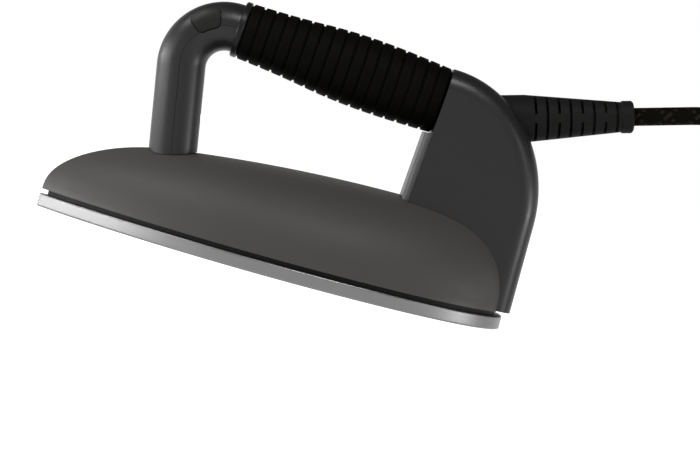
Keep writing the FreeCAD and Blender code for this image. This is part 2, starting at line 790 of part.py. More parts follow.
def steam_holes():
    """Where the sole's steam holes stand, on its underside."""
    places = []
    for inset, first, count in STEAM_HOLE_ROWS:
        for i in range(count):
            x = NOSE_X + first + i * STEAM_HOLE_PITCH
            places += both_sides(V(x, half_width(x, inset), 0))
    return places


def soleplate():
    """The polished plate with rounded rims and two V rows of steam holes."""
    plate = slab(0, 0, SOLE_THICK)
    rims = [edge for edge in plate.Edges if edge.BoundBox.ZLength < 0.01]
    bends = [edge.curvatureAt(end) for edge in rims for end in edge.ParameterRange]
    plate = plate.makeFillet(min(SOLE_EDGE_ROUND, NOSE_SHARE / max(bends)), rims)
    drills = [rod(STEAM_HOLE_R, place - UP, place + UP * (SOLE_THICK + 1)) for place in steam_holes()]
    return plate.cut(group(drills))


def element_route():
    """The U that the heating element follows through the casting."""
    z = SOLE_THICK + CASTING_THICK / 2
    tip = V(NOSE_X + ELEMENT_FRONT, 0, z)
    rear_x = HEEL_X - ELEMENT_REAR
    run = rear_x - tip.x
    side = []
    for share in (0.16, 0.36, 0.62, 1.0):
        x = tip.x + run * share
        side.append(V(x, half_width(x, ELEMENT_INSET), z))
    left = [V(p.x, -p.y, p.z) for p in side]
    curve = Part.BSplineCurve()
    curve.interpolate(Points=left[::-1] + [tip] + side)
    return Part.Wire([curve.toShape()]), side[-1]


def element_form(grow):
    """The heating element, or the room for it."""
    path, end = element_route()
    edge = path.Edges[0]
    start = edge.valueAt(edge.FirstParameter)
    ring = Part.Wire([Part.makeCircle(ELEMENT_R + grow, start, edge.tangentAt(edge.FirstParameter))])
    tube = path.makePipeShell([ring], True, False)
    rises = [
        rod(COLD_END_R + grow, place, V(place.x, place.y, COLD_END_TOP)) for place in both_sides(end)
    ]
    knees = [Part.makeSphere(ELEMENT_R + grow, place) for place in both_sides(end)]
    return fuse([tube] + knees + rises)


def cover_screw_places():
    """Where the chamber cover is screwed down, on its top face."""
    places = [V(HEEL_X - CHAMBER_REAR + COVER_MARGIN / 2, 0, COVER_TOP)]
    for share in (0.08, 0.5, 0.92):
        x = NOSE_X + CHAMBER_FRONT + share * (SOLE_LENGTH - CHAMBER_FRONT - CHAMBER_REAR)
        places += both_sides(V(x, half_width(x, COVER_SCREW_INSET), COVER_TOP))
    return places


def spacer_places():
    """Where the heat shield stands on the casting."""
    back, side = SPACER_REAR
    rear = V(HEEL_X - back, side, CASTING_TOP)
    return [V(NOSE_X + SPACER_FRONT, 0, CASTING_TOP)] + both_sides(rear)


def heater_casting():
    """The aluminium casting with the element's channel and the steam chamber's pocket."""
    casting = slab(CASTING_INSET, SOLE_THICK, CASTING_TOP)
    pocket = slab(CHAMBER_INSET, SOLE_THICK + CHAMBER_FLOOR, CASTING_TOP + 1)
    pocket = between(pocket, NOSE_X + CHAMBER_FRONT, HEEL_X - CHAMBER_REAR)
    casting = casting.cut(pocket).cut(element_form(CAST_GAP))
    drills = [rod(STEAM_HOLE_R, place, place + UP * CASTING_TOP) for place in steam_holes()]
    for place in cover_screw_places():
        drills.append(rod(COVER_SCREW_R + CAST_GAP, place - UP * (COVER_SCREW_DEPTH + 3), place))
    for place in spacer_places():
        drills.append(rod(COVER_SCREW_R + CAST_GAP, place - UP * 6, place + UP))
    return casting.cut(group(drills))


def cover_plate(inset, low, high):
    """A plate over the steam chamber, drilled for the cover's screws."""
    margin = COVER_MARGIN
    plate = slab(inset, low, high)
    plate = between(plate, NOSE_X + CHAMBER_FRONT - margin, HEEL_X - CHAMBER_REAR + margin)
    for place in cover_screw_places():
        plate = plate.cut(rod(COVER_SCREW_R + SLIP_GAP, place - UP * 9, place + UP))
    return plate


def steam_chamber_gasket():
    """The seal round the chamber's rim."""
    plate = cover_plate(COVER_INSET, CASTING_TOP, GASKET_TOP)
    room = slab(CHAMBER_INSET, CASTING_TOP - 1, GASKET_TOP + 1)
    return plate.cut(between(room, NOSE_X + CHAMBER_FRONT, HEEL_X - CHAMBER_REAR))


def inlet_place():
    """The foot of the steam inlet, on the chamber cover."""
    return V(HEEL_X - INLET_FROM_HEEL, 0, COVER_TOP)


def steam_chamber_cover():
    """The lid, bored under the steam inlet."""
    foot = inlet_place()
    return cover_plate(COVER_INSET, GASKET_TOP, COVER_TOP).cut(rod(INLET_BORE_R, foot - UP * 5, foot + UP))


def steam_inlet():
    """The brass barb that the steam tube is pushed on."""
    profile = [
        (0, INLET_BORE_R),
        (0, INLET_FLANGE_R),
        (2, INLET_FLANGE_R),
        (2, INLET_BARB_R),
        (INLET_HEIGHT - BARB_LENGTH, INLET_BARB_R),
        (INLET_HEIGHT - BARB_LENGTH, INLET_BARB_R + BARB_LIP),
        (INLET_HEIGHT, INLET_BARB_R - BARB_LIP),
        (INLET_HEIGHT, INLET_BORE_R),
    ]
    return turned(profile, inlet_place(), UP)


def base_skirt():
    """The black ring that fills the gap between sole and body, set back from both."""
    outer = BODY_INSET + BODY_WALL + SKIRT_GAP
    ring = slab(outer, SKIRT_BOTTOM, SKIRT_TOP)
    return ring.cut(slab(outer + SKIRT_WALL, SKIRT_BOTTOM - 1, SKIRT_TOP + 1))


def heat_shield():
    """The sheet over the heater, clear of the rear housing, the element and the steam tube."""
    room = dome(BODY_WALL + SHIELD_GAP, BODY_WALL + SHIELD_GAP, SEAM_Z)
    plate = slab(BODY_WALL, SHIELD_Z, SHIELD_TOP).common(room)
    plate = plate.cut(housing_form(-1, 0)).cut(housing_strip(1))
    for place in spacer_places():
        plate = plate.cut(rod(COVER_SCREW_R + SLIP_GAP, place, V(place.x, place.y, SHIELD_TOP + 1)))
    for place in foot_screw_places():
        plate = plate.cut(rod(COVER_SCREW_R + SLIP_GAP, place - UP, place + UP * 3))
    return plate


def shield_spacers():
    """The posts between casting and shield."""
    return group(
        [
            pipe(SPACER_R, COVER_SCREW_R + SLIP_GAP, place, V(place.x, place.y, SHIELD_Z))
            for place in spacer_places()
        ]
    )


def shield_screws():
    """The screws through shield and spacers into the casting."""
    length = SHIELD_TOP - CASTING_TOP + 5
    heads = [V(place.x, place.y, SHIELD_TOP) for place in spacer_places()]
    return group([screw(head, -UP, COVER_SCREW_R, length) for head in heads])


def bracket_middle():
    """The middle of the thermostat's bracket, on the chamber cover."""
    return V(NOSE_X + THERMOSTAT_FROM_NOSE + 12, 0, COVER_TOP)


def thermostat_bracket():
    """The strip that holds the thermostat and the fuse on the chamber cover."""
    length, width, thick = BRACKET_SIZE
    middle = bracket_middle()
    low = middle - V(length / 2, width / 2, 0)
    return block(low, low + V(length, width, thick))


def thermostat():
    """The bimetal disc thermostat with its two tabs."""
    foot = V(NOSE_X + THERMOSTAT_FROM_NOSE, 0, COVER_TOP + BRACKET_SIZE[2])
    body = rod(THERMOSTAT_R, foot, foot + UP * THERMOSTAT_THICK)
    tabs = [
        block(place - V(3, 0.4, 1), place + V(3, 0.4, 2.5))
        for place in both_sides(foot + V(0, 5, THERMOSTAT_THICK))
    ]
    return fuse([body] + tabs)


def thermal_fuse():
    """The one-shot thermal fuse, lying along the bracket."""
    middle = bracket_middle() + V(14, 0, BRACKET_SIZE[2] + FUSE_R)
    half = V(FUSE_LENGTH / 2, 0, 0)
    leads = rod(THIN_LEAD_R / 2, middle - half - V(3, 0, 0), middle + half + V(3, 0, 0))
    return fuse([rod(FUSE_R, middle - half, middle + half), leads])


# ---- hose boot and what is in the housing --------------------------------------------------


BOOT_DIR = V(math.cos(math.radians(BOOT_ANGLE)), 0, math.sin(math.radians(BOOT_ANGLE)))
BOOT_UP = V(-BOOT_DIR.z, 0, BOOT_DIR.x)
BOOT_TIP = V(HEEL_X + BOOT_END[0], 0, OVERALL_HEIGHT - BOOT_END[1])


def boot_at(s):
    """The boot's axis at a distance from its root inside the housing."""
    return BOOT_TIP - BOOT_DIR * (BOOT_LENGTH - s)


def hose_boot():
    """The tapered rubber strain relief: long and short slots in turn on its sides, and a bead."""
    bead_r, bead_length = BOOT_BEAD
    bead_start = BOOT_LENGTH - bead_length
    bore = HOSE_R + CAST_GAP
    profile = [
        (0, bore),
        (0, BOOT_ROOT_R),
        (BOOT_PARALLEL, BOOT_ROOT_R),
        (bead_start, BOOT_TIP_R),
        (bead_start + 0.6, bead_r),
        (BOOT_LENGTH - 0.8, bead_r),
        (BOOT_LENGTH, bead_r - 0.8),
        (BOOT_LENGTH, bore),
    ]
    boot = turned(profile, boot_at(0), BOOT_DIR)
    for i in range(BOOT_GROOVES):
        middle = bead_start - GROOVE_FIRST - GROOVE_PITCH * i
        ring = pipe(
            BOOT_ROOT_R + 3,
            HOSE_R + GROOVE_FLOOR,
            boot_at(middle - GROOVE_WIDTH / 2),
            boot_at(middle + GROOVE_WIDTH / 2),
        )
        for keep in (BOOT_UP, ACROSS)[: 1 + i % 2]:
            size = (GROOVE_WIDTH * 2, GROOVE_WEB, BOOT_LENGTH)
            ring = ring.cut(oriented_box(size, boot_at(middle), BOOT_DIR, keep))
        boot = boot.cut(ring)
    return boot


def hose_inner_end():
    """The hose's end inside the boot and the housing."""
    return rod(HOSE_R, boot_at(-INNER_HOSE), BOOT_TIP)


def cord_clamp():
    """The saddle that grips the hose inside the housing."""
    middle = boot_at(-CLAMP_INSIDE)
    saddle = oriented_box(CLAMP_SIZE, middle, BOOT_DIR, BOOT_UP)
    saddle = saddle.cut(rod(HOSE_R + CAST_GAP, boot_at(-2 * INNER_HOSE), boot_at(0)))
    for head in clamp_screw_places():
        tip = head - BOOT_UP * (CLAMP_SCREW_LENGTH + 1)
        saddle = saddle.cut(rod(COVER_SCREW_R + CAST_GAP, head + BOOT_UP, tip))
    return saddle


def clamp_screw_places():
    """The heads of the clamp's screws."""
    top = boot_at(-CLAMP_INSIDE) + BOOT_UP * (CLAMP_SIZE[2] / 2)
    return both_sides(top + ACROSS * CLAMP_SCREW_SIDE)


def steam_tube():
    """The silicone tube from the hose to the inlet, inside the housing."""
    foot = inlet_place() + UP * 3
    end = boot_at(-INNER_HOSE - CAST_GAP)
    corner = end - BOOT_DIR * TUBE_REACH
    points = [foot, V(foot.x, 0, corner.z - TUBE_RISE), corner, end]
    outer = cable(points, INLET_BARB_R + TUBE_THICK)[0]
    inner = cable([foot - UP] + points[1:-1] + [end + BOOT_DIR], INLET_BARB_R + BARB_LIP + CAST_GAP)[0]
    return outer.cut(inner)


def block_place():
    """The middle of the terminal block, inside the housing."""
    rise = BLOCK_RISE * (HOUSING_TOP_Z - HOUSING_SPRING_Z)
    return V(HOUSING_REAR_X - HOUSING_WALL - BLOCK_SIZE[0] / 2 - 2, 0, HOUSING_SPRING_Z + rise)


def terminal_places():
    """The terminal block's screws, on its front face."""
    middle = block_place() - V(BLOCK_SIZE[0] / 2, 0, 0)
    return [middle + ACROSS * (TERMINAL_PITCH * i) for i in (-1, 0, 1)]


def terminal_block():
    """The block where the hose's conductors end."""
    half = V(*BLOCK_SIZE) * 0.5
    body = block(block_place() - half, block_place() + half)
    for place in terminal_places():
        body = body.cut(rod(1.6, place - V(1, 0, 0), place + V(6, 0, 0)))
    return body


def terminal_screws():
    """The terminals' screws."""
    return group([rod(1.5, place + V(0.4, 0, 0), place + V(5, 0, 0)) for place in terminal_places()])


def earth_tag():
    """The earthing tag, screwed on the casting behind the chamber cover."""
    low = V(HEEL_X - CHAMBER_REAR + COVER_MARGIN + 3, -4, CASTING_TOP)
    return block(low, low + V(14, 8, 1))


def power_leads():
    """The leads from the terminal block to the element's cold ends."""
    leads = []
    end = element_route()[1]
    for side in (-1, 1):
        top = block_place() + V(-2, side * TERMINAL_PITCH, -BLOCK_SIZE[2] / 2 - CAST_GAP)
        cold = V(end.x, side * (end.y - COLD_END_R - CAST_GAP), COLD_END_TOP - 2 * LEAD_R)
        points = [top, top - UP * 14, V(end.x + 8, side * 9, cold.z), V(end.x, side * 16, cold.z), cold]
        leads.append(cable(points, LEAD_R)[0])
    return group(leads)


def switch_leads():
    """The leads from the microswitch, through the grip, to the terminal block."""
    leads = []
    block_top = block_place() + UP * (BLOCK_SIZE[2] / 2 + CAST_GAP)
    start = BUTTON_MIDDLE + BUTTON_LONG * (SWITCH_SIZE[0] / 2 + CAST_GAP)
    for side in (-1, 1):
        offset = ACROSS * (side * 1.5)
        points = [
            start + offset,
            start + offset + BUTTON_LONG * 5,
            grip_at(20) + offset,
            grip_at(SLEEVE_END + 6) + offset * 3.5,
            V(GRIP_REAR_X + 12, 5 * offset.y, GRIP_REAR_Z - 14),
            block_top + UP * 9 + offset * 5,
            block_top + offset * 5,
        ]
        leads.append(cable(points, THIN_LEAD_R)[0])
    return group(leads)


# ---- hose and connector --------------------------------------------------------------------


RING_X = HEEL_X + RING_CENTRE[0]
RING_Y = RING_CENTRE[1]
RING_HEIGHT = RING_TURNS[1] * HOSE_PITCH
RING_HALF = RING_TURNS[0] * HOSE_PITCH / 2
PLUG_Z = PLUG_SIZE[2] / 2
PLUG_X = RING_X + PLUG_GAP + PLUG_TAIL[2]
PLUG_Y = RING_Y - RING_MID_R - HOSE_PITCH


def hose_run():
    """The hose from the boot, through the air and down to the coil."""
    straight = [BOOT_TIP, BOOT_TIP + BOOT_DIR * HOSE_STRAIGHT]
    points = straight + [V(HEEL_X + x, y, z) for x, y, z in HOSE_ROUTE]
    tube, radii, length = cable(points, HOSE_R)
    share = tube.Volume / (math.pi * HOSE_R**2 * length)
    print("hose run", round(length), "mm, radii", [round(r) for r in radii], "volume", round(share, 4))
    return tube


def hose_coil():
    """The outer shape of the coil of spare hose."""
    outer = RING_MID_R + RING_HALF
    inner = RING_MID_R - RING_HALF
    edge = HOSE_R / 2
    profile = [
        (0, inner + edge),
        (edge, inner),
        (RING_HEIGHT - edge, inner),
        (RING_HEIGHT, inner + edge),
        (RING_HEIGHT, outer - edge),
        (RING_HEIGHT - edge, outer),
        (edge, outer),
        (0, outer - edge),
    ]
    return turned(profile, V(RING_X, RING_Y, 0), UP)


def hose_tail():
    """The hose from the coil to its connector."""
    end = V(PLUG_X - PLUG_TAIL[2], PLUG_Y, PLUG_Z)
    start = V(RING_X - 6, PLUG_Y, HOSE_R + SLIP_GAP)
    middle = V(end.x - 27, PLUG_Y, start.z + 0.6)
    return cable([start, middle, end], HOSE_R)[0]


def connector_boot():
    """The connector's tapered tail."""
    large, small, length = PLUG_TAIL
    start = V(PLUG_X - length, PLUG_Y, PLUG_Z)
    return turned([(0, 0), (0, small), (length - 4, large), (length, large), (length, 0)], start, V(1, 0, 0))


def connector_body():
    """The connector's moulding, with a shroud round its nipple and pins."""
    length, width, height = PLUG_SIZE
    depth, wall = PLUG_SHROUD
    low = V(PLUG_X, PLUG_Y - width / 2, 0)
    body = block(low, low + V(length, width, height))
    body = body.makeFillet(PLUG_ROUND, [edge for edge in body.Edges if edge.BoundBox.XLength > 1])
    inside = block(low + V(length - depth, wall, wall), low + V(length + 1, width - wall, height - wall))
    long_edges = [edge for edge in inside.Edges if edge.BoundBox.XLength > 1]
    return body.cut(inside.makeFillet(PLUG_ROUND - wall, long_edges))


def shroud_place(y, z):
    """A place on the floor of the connector's shroud."""
    return V(PLUG_X + PLUG_SIZE[0] - PLUG_SHROUD[0], PLUG_Y + y, PLUG_Z + z)


def connector_nipple():
    """The brass steam nipple."""
    foot = shroud_place(-CONTACT_SIDE, 0)
    return pipe(NIPPLE_R, INLET_BORE_R, foot, foot + V(NIPPLE_LENGTH, 0, 0))


def connector_seal():
    """The face seal round the nipple's foot, wide enough to let the socket's own tube inside it."""
    foot = shroud_place(-CONTACT_SIDE, 0)
    return pipe(SEAL_SIZE[0], SEAL_SIZE[1], foot, foot + V(SEAL_SIZE[2], 0, 0))


def connector_pins():
    """The three contact pins."""
    feet = [shroud_place(CONTACT_SIDE, z) for z in (-PIN_PITCH, 0, PIN_PITCH)]
    return group([rod(PIN_R, foot, foot + V(PIN_LENGTH, 0, 0)) for foot in feet])


NODES = {
    "soleplate": soleplate,
    "heater_casting": heater_casting,
    "heating_element": lambda: element_form(0),
    "steam_chamber_gasket": steam_chamber_gasket,
    "steam_chamber_cover": steam_chamber_cover,
    "chamber_screws": lambda: group(
        [screw(place, -UP, COVER_SCREW_R, COVER_SCREW_DEPTH) for place in cover_screw_places()]
    ),
    "steam_inlet": steam_inlet,
    "thermostat_bracket": thermostat_bracket,
    "thermostat": thermostat,
    "thermal_fuse": thermal_fuse,
    "base_skirt": base_skirt,
    "heat_shield": heat_shield,
    "shield_spacers": shield_spacers,
    "shield_screws": shield_screws,
    "body_cover": body_cover,
    "handle_front_shell": lambda: handle_shell(1),
    "handle_rear_shell": handle_rear_shell,
    "handle_foot": handle_foot,
    "handle_screws": handle_screws,
    "grip_collar": grip_collar,
    "grip_core": grip_core,
    "rubber_grip": rubber_grip,
    "steam_button": steam_button,
    "switch_body": switch_body,
    "switch_plunger": switch_plunger,
    "switch_bracket": switch_bracket,
    "switch_leads": switch_leads,
    "rear_housing": rear_housing,
    "housing_strip": housing_strip,
    "hose_boot": hose_boot,
    "hose_inner_end": hose_inner_end,
    "cord_clamp": cord_clamp,
    "clamp_screws": lambda: group(
        [screw(head, -BOOT_UP, COVER_SCREW_R, CLAMP_SCREW_LENGTH) for head in clamp_screw_places()]
    ),
    "steam_tube": steam_tube,
    "terminal_block": terminal_block,
    "terminal_screws": terminal_screws,
    "earth_tag": earth_tag,
    "power_leads": power_leads,
    "hose_run": hose_run,
    "hose_coil": hose_coil,
    "hose_tail": hose_tail,
    "connector_boot": connector_boot,
    "connector_body": connector_body,
    "connector_nipple": connector_nipple,
    "connector_seal": connector_seal,
    "connector_pins": connector_pins,
}

os.makedirs("parts", exist_ok=True)
for name, make in NODES.items():
    shape = make()
    if not shape.isValid() or shape.Volume <= 0 or not shape.Solids:
        print("fault in", name, shape.isValid(), shape.Volume, len(shape.Solids))
    shape.exportStep(f"parts/{name}.step")
print(len(NODES), "nodes")
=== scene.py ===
"""The finished look of a steam-station clothes iron, dressed over its fixed CAD frame.

Metres, +Z up. The origin is the middle of the sole's underside, -X is the nose, and -Y is the
side that carries the steam button.
"""

import bpy
import bmesh
import math
from mathutils import Matrix, Vector


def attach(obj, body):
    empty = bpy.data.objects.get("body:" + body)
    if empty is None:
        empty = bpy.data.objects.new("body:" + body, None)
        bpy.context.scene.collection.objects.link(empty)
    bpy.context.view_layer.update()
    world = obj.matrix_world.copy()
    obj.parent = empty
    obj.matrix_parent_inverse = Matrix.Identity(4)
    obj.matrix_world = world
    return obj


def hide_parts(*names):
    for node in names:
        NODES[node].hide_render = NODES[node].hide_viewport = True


bl_info = {
    "name": "Steam-station iron",
    "version": (1, 0, 0),
    "blender": (4, 5, 0),
    "location": "3D View > Sidebar > Iron",
    "description": "Dresses the iron's CAD frame in moulded, rubber, metal and woven finishes",
    "category": "Object",
}

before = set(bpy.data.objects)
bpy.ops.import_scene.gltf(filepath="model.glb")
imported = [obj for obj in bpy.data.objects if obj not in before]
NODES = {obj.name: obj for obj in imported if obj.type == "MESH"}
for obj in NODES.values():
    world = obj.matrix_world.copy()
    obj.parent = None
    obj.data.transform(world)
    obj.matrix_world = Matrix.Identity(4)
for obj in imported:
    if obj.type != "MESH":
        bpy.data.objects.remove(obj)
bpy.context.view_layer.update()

# Grip: its axis starts at the end of the handle's bend and slopes down to the rear housing
GRIP_START = Vector((-0.042549, 0, 0.105924))
GRIP_SLOPE = math.radians(4.6)
SLEEVE_FROM = 0.0033
SLEEVE_LENGTH = 0.0990
SLEEVE_BORE = 0.0093
SLEEVE_RADII = (0.0135, 0.0142, 0.0152, 0.0165, 0.0172, 0.0172, 0.0167, 0.0159)

# Hose: points from the boot's end down to the coil of spare hose, and out to its connector
HOSE_EXIT = (0.1495, 0.0, 0.1140)
HOSE_ROUTE = (
    HOSE_EXIT,
    (0.16777, 0.0, 0.11920),
    (0.18605, 0.0, 0.12441),
    (0.216, -0.001, 0.1252),
    (0.238, -0.008, 0.113),
    (0.253, -0.019, 0.091),
    (0.260, -0.033, 0.063),
    (0.270, -0.043, 0.039),
    (0.293, -0.048, 0.021),
    (0.323, -0.0445, 0.0132),
)
HOSE_TAIL = ((0.3127, -0.0477, 0.0044), (0.337, -0.0477, 0.00505), (0.364, -0.0477, 0.012))
COIL_CENTRE = Vector((0.302, 0.006, 0))
COIL_RADII = (0.0537, 0.0450, 0.0363)
COIL_HEIGHTS = (0.01305, 0.00435)
COIL_FIRST = -56.25  # degrees round the coil, of its first point
COIL_LAST = 1698.75
COIL_STEP = 22.5
# The rest are in degrees wound since the hose came on to the coil; a pair is a start and a length
COIL_LEAD_IN = 67.5
TOP_LAYER_END = 1040
CROSSING = (300, 60)  # of each turn, where it crosses to the next one in
TUCK_IN = (960, 80)
LAYER_DROP = (955, 85)
WAY_OUT = (1080, 697)

# Connector at the hose's far end
RIDGES_FROM = Vector((0.3915, -0.0477, 0.024))
RIDGE_SIZE = Vector((0.0009, 0.0082, 0.0007))
RIDGE_PITCH = 0.0034
RIDGE_COUNT = 6

# Ties round the coil: where they stand, in degrees round it, and a strap's width and thickness
TIE_ANGLES = (25.0, 160.0)
TIE_WIDTH = 0.009
TIE_THICK = 0.0008

# Studio: what the camera looks at, and each soft light's place, aim, size and share of the key power
CAMERA_TARGET = Vector((0.0331, 0.0, 0.0278))
FLOOR_RADIUS = 14.0
SOFTBOXES = {
    "Key_light": ((-0.72, -0.20, 0.80), CAMERA_TARGET, (0.4, 0.4), 0.9),
    "Top_light": ((0.05, -0.65, 0.85), CAMERA_TARGET, (0.45, 0.22), 0.95),
    "Side_light": ((0.90, -0.70, 0.50), CAMERA_TARGET, (0.15, 0.4), 0.2),
    "Nose_light": ((-1.1, -0.1, 0.08), (0, 0, 0.03), (1.2, 0.14), 1.6),
    "Heel_light": ((1.16, -0.31, 0.11), (0, 0, 0.03), (0.30, 0.08), 0.6),
}
SKY_BRIGHT = (1.0, 1.0, 1.0, 1)  # near the horizon
SKY_DIM = (0.15, 0.15, 0.15, 1)  # overhead
SKY_HEIGHTS = (0.14, 0.60)  # sines of the heights between which the one eases into the other


# ---- sizes and colours that a user would change ----------------------------------------------


def colour(name, description, red, green, blue):
    """A colour property."""
    return bpy.props.FloatVectorProperty(
        name=name, description=description, default=(red, green, blue), size=3, min=0, max=1, subtype="COLOR"
    )


def distance(name, description, default):
    """A length property, in metres."""
    return bpy.props.FloatProperty(
        name=name,
        description=description,
        default=default,
        min=0,
        precision=5,
        unit="LENGTH",
        subtype="DISTANCE",
    )


def count(name, description, default, low, high):
    """A whole number property."""
    return bpy.props.IntProperty(
        name=name, description=description, default=default, min=low, max=high
    )


def tilt(name, description, degrees):
    """An angle property."""
    return bpy.props.FloatProperty(
        name=name, description=description, default=math.radians(degrees), subtype="ANGLE"
    )


def amount(name, description, default, low, high):
    """A plain number property."""
    return bpy.props.FloatProperty(
        name=name, description=description, default=default, min=low, max=high
    )


class IronColours(bpy.types.PropertyGroup):
    """Colours of the iron's mouldings, rubber and hose."""

    body: colour("Body", "Warm grey of the body cover", 0.031, 0.0296, 0.0275)
    handle: colour("Handle", "Grey of the post and bend", 0.005, 0.005, 0.005)
    housing: colour("Housing", "Grey of the rear housing", 0.005, 0.005, 0.0051)
    strip: colour("Strip", "Lighter grey of the strip in front of the housing", 0.050, 0.050, 0.051)
    button: colour("Button", "Dark grey of the steam button", 0.006, 0.006, 0.005)
    rubber: colour("Grip rubber", "Black of the ribbed grip", 0.0008, 0.0007, 0.0004)
    boot: colour("Boot rubber", "Black of the hose's boots", 0.006, 0.006, 0.0058)
    black: colour("Black plastic", "Black of the skirt, collar and connector", 0.006, 0.006, 0.006)
    hose: colour("Hose", "Dark yarn of the hose's braid", 0.0014, 0.0010, 0.0004)
    fleck: colour("Fleck", "Pale yarn of the hose's braid", 0.009, 0.0072, 0.0045)


class GripSizes(bpy.types.PropertyGroup):
    """Sizes of the ribbed rubber sleeve."""

    ribs: count("Ribs", "Lands along the sleeve", 17, 3, 40)
    groove: distance("Groove", "Width of the floor of each groove", 0.0008)
    depth: distance("Depth", "How deep the grooves are", 0.0010)
    rounding: distance("Rounding", "How far each land is rounded at its edges", 0.0006)


class HoseSizes(bpy.types.PropertyGroup):
    """Sizes of the braided hose."""

    diameter: distance("Diameter", "Outside diameter of the hose", 0.0086)
    yarns: count("Yarns", "Yarns that run each way round the braid", 12, 4, 24)
    turn: distance("Turn", "Length along the hose in which a yarn goes once round", 0.030)


class StageSizes(bpy.types.PropertyGroup):
    """Where the camera stands and how strong the studio's lights are."""

    reach: distance("Reach", "From the camera to the point that it looks at", 0.963)
    elevation: tilt("Elevation", "Camera above the horizon", 3.0)
    swing: tilt("Swing", "Camera round towards the nose", 1.5)
    roll: tilt("Roll", "Camera turned about its own axis", 15.0)
    lens: amount("Lens", "Focal length in millimetres", 103.7, 10, 300)
    sky: amount("Sky", "Strength of the light all round, brightest at the horizon", 1.0, 0, 5)
    key: amount("Key", "Watts that the soft lights take their shares of", 7.0, 0, 500)


# ---- node trees --------------------------------------------------------------------------------


class Field:
    """A number that changes over a surface: an expression on it adds Math nodes to its tree."""

    def __init__(self, graph, socket):
        self.graph = graph
        self.socket = socket

    def math(self, operation, *values):
        """A Math node on values, of which this one is usually the first."""
        made = self.graph.node("ShaderNodeMath", {"operation": operation}, dict(enumerate(values)))
        return Field(self.graph, made.outputs[0])

    def __add__(self, other):
        return self.math("ADD", self, other)

    def __sub__(self, other):
        return self.math("SUBTRACT", self, other)

    def __rsub__(self, other):
        return self.math("SUBTRACT", other, self)

    def __mul__(self, other):
        return self.math("MULTIPLY", self, other)

    def __truediv__(self, other):
        return self.math("DIVIDE", self, other)

    def __gt__(self, other):
        return self.math("GREATER_THAN", self, other)

    def __lt__(self, other):
        return self.math("LESS_THAN", self, other)

    def __abs__(self):
        return self.math("ABSOLUTE", self)

    __radd__ = __add__
    __rmul__ = __mul__

    def floor(self):
        """The whole number below."""
        return self.math("FLOOR", self)

    def part(self):
        """What is left above the whole number below."""
        return self.math("FRACT", self)

    def sine(self):
        """The sine of an angle in radians."""
        return self.math("SINE", self)

    def held(self):
        """Kept between 0 and 1."""
        lowest = self.math("MAXIMUM", self, 0)
        return lowest.math("MINIMUM", lowest, 1)

    def round_over(self):
        """A quarter round from 0 to 1, which starts steep and ends level."""
        short = 1 - self.held()
        return self.math("SQRT", 1 - short * short)

    def ease(self, low, high):
        """0 below low, 1 above high, and smooth between."""
        made = self.graph.node(
            "ShaderNodeMapRange",
            {"interpolation_type": "SMOOTHSTEP"},
            {"Value": self, "From Min": low, "From Max": high},
        )
        return Field(self.graph, made.outputs["Result"])


class Graph:
    """A node tree under construction."""

    def __init__(self, tree):
        self.tree = tree

    def node(self, kind, settings=None, sockets=None):
        """Adds a node of a kind: its settings come first, then its sockets' values or links."""
        made = self.tree.nodes.new(kind)
        for name, value in (settings or {}).items():
            if name == "curve":
                points = made.mapping.curves[0].points
                while len(points) < len(value):
                    points.new(0.5, 0.5)
                for point, place in zip(points, value):
                    point.location = place
                made.mapping.update()
            else:
                setattr(made, name, value)
        for name, value in (sockets or {}).items():
            if isinstance(value, Field):
                self.tree.links.new(value.socket, made.inputs[name])
            elif isinstance(value, bpy.types.NodeSocket):
                self.tree.links.new(value, made.inputs[name])
            else:
                made.inputs[name].default_value = value
        return made

    def split(self, socket):
        """The three parts of a vector, as fields."""
        made = self.node("ShaderNodeSeparateXYZ", sockets={0: socket})
        return [Field(self, output) for output in made.outputs]


class Finish(Graph):
    """A material under construction, round one Principled shader."""

    def __init__(self, name, **constants):
        self.material = bpy.data.materials.new(name)
        self.material.use_nodes = True
        super().__init__(self.material.node_tree)
        self.shader = self.tree.nodes["Principled BSDF"]
        self.place = self.node("ShaderNodeTexCoord").outputs["Object"]
        for socket, value in constants.items():
            self.shader.inputs[socket.replace("_", " ")].default_value = value

    def stretched(self, scale, turn=(0, 0, 0)):
        """The place on the piece, scaled along each axis."""
        sockets = {"Vector": self.place, "Scale": scale, "Rotation": turn}
        return self.node("ShaderNodeMapping", sockets=sockets).outputs[0]

    def noise(self, scale, detail=2.0, roughness=0.5, place=None):
        """Cloudy noise from 0 to 1, whose features are about 1/scale metres across."""
        sockets = {"Vector": place or self.place, "Scale": scale, "Detail": detail, "Roughness": roughness}
        return Field(self, self.node("ShaderNodeTexNoise", sockets=sockets).outputs[0])

    def cells(self, scale, feature="F1", place=None):
        """The distance to the nearest of scattered points."""
        sockets = {"Vector": place or self.place, "Scale": scale}
        made = self.node("ShaderNodeTexVoronoi", {"feature": feature}, sockets)
        return Field(self, made.outputs["Distance"])

    def mix(self, factor, first, second):
        """One colour where factor is 0 and another where it is 1."""
        made = self.node("ShaderNodeMix", {"data_type": "RGBA"}, {0: factor, 6: first, 7: second})
        return made.outputs[2]

    def shade(self, base, spread, factor):
        """A colour that gets darker and lighter by a share of itself, with factor from 0 to 1."""
        dark = (*(c * (1 - spread) for c in base), 1)
        pale = (*(min(1, c * (1 + spread)) for c in base), 1)
        return self.mix(factor, dark, pale)

    def wear(self, colour, roughness, height=None, depth=0.00002):
        """Feeds what changes over the surface to the shader."""
        links = self.tree.links
        links.new(colour, self.shader.inputs["Base Color"])
        links.new(roughness.socket, self.shader.inputs["Roughness"])
        if height is not None:
            bump = self.node("ShaderNodeBump", sockets={"Height": height, "Distance": depth, "Strength": 1.0})
            links.new(bump.outputs[0], self.shader.inputs["Normal"])
        return self.material


# ---- finishes ----------------------------------------------------------------------------------


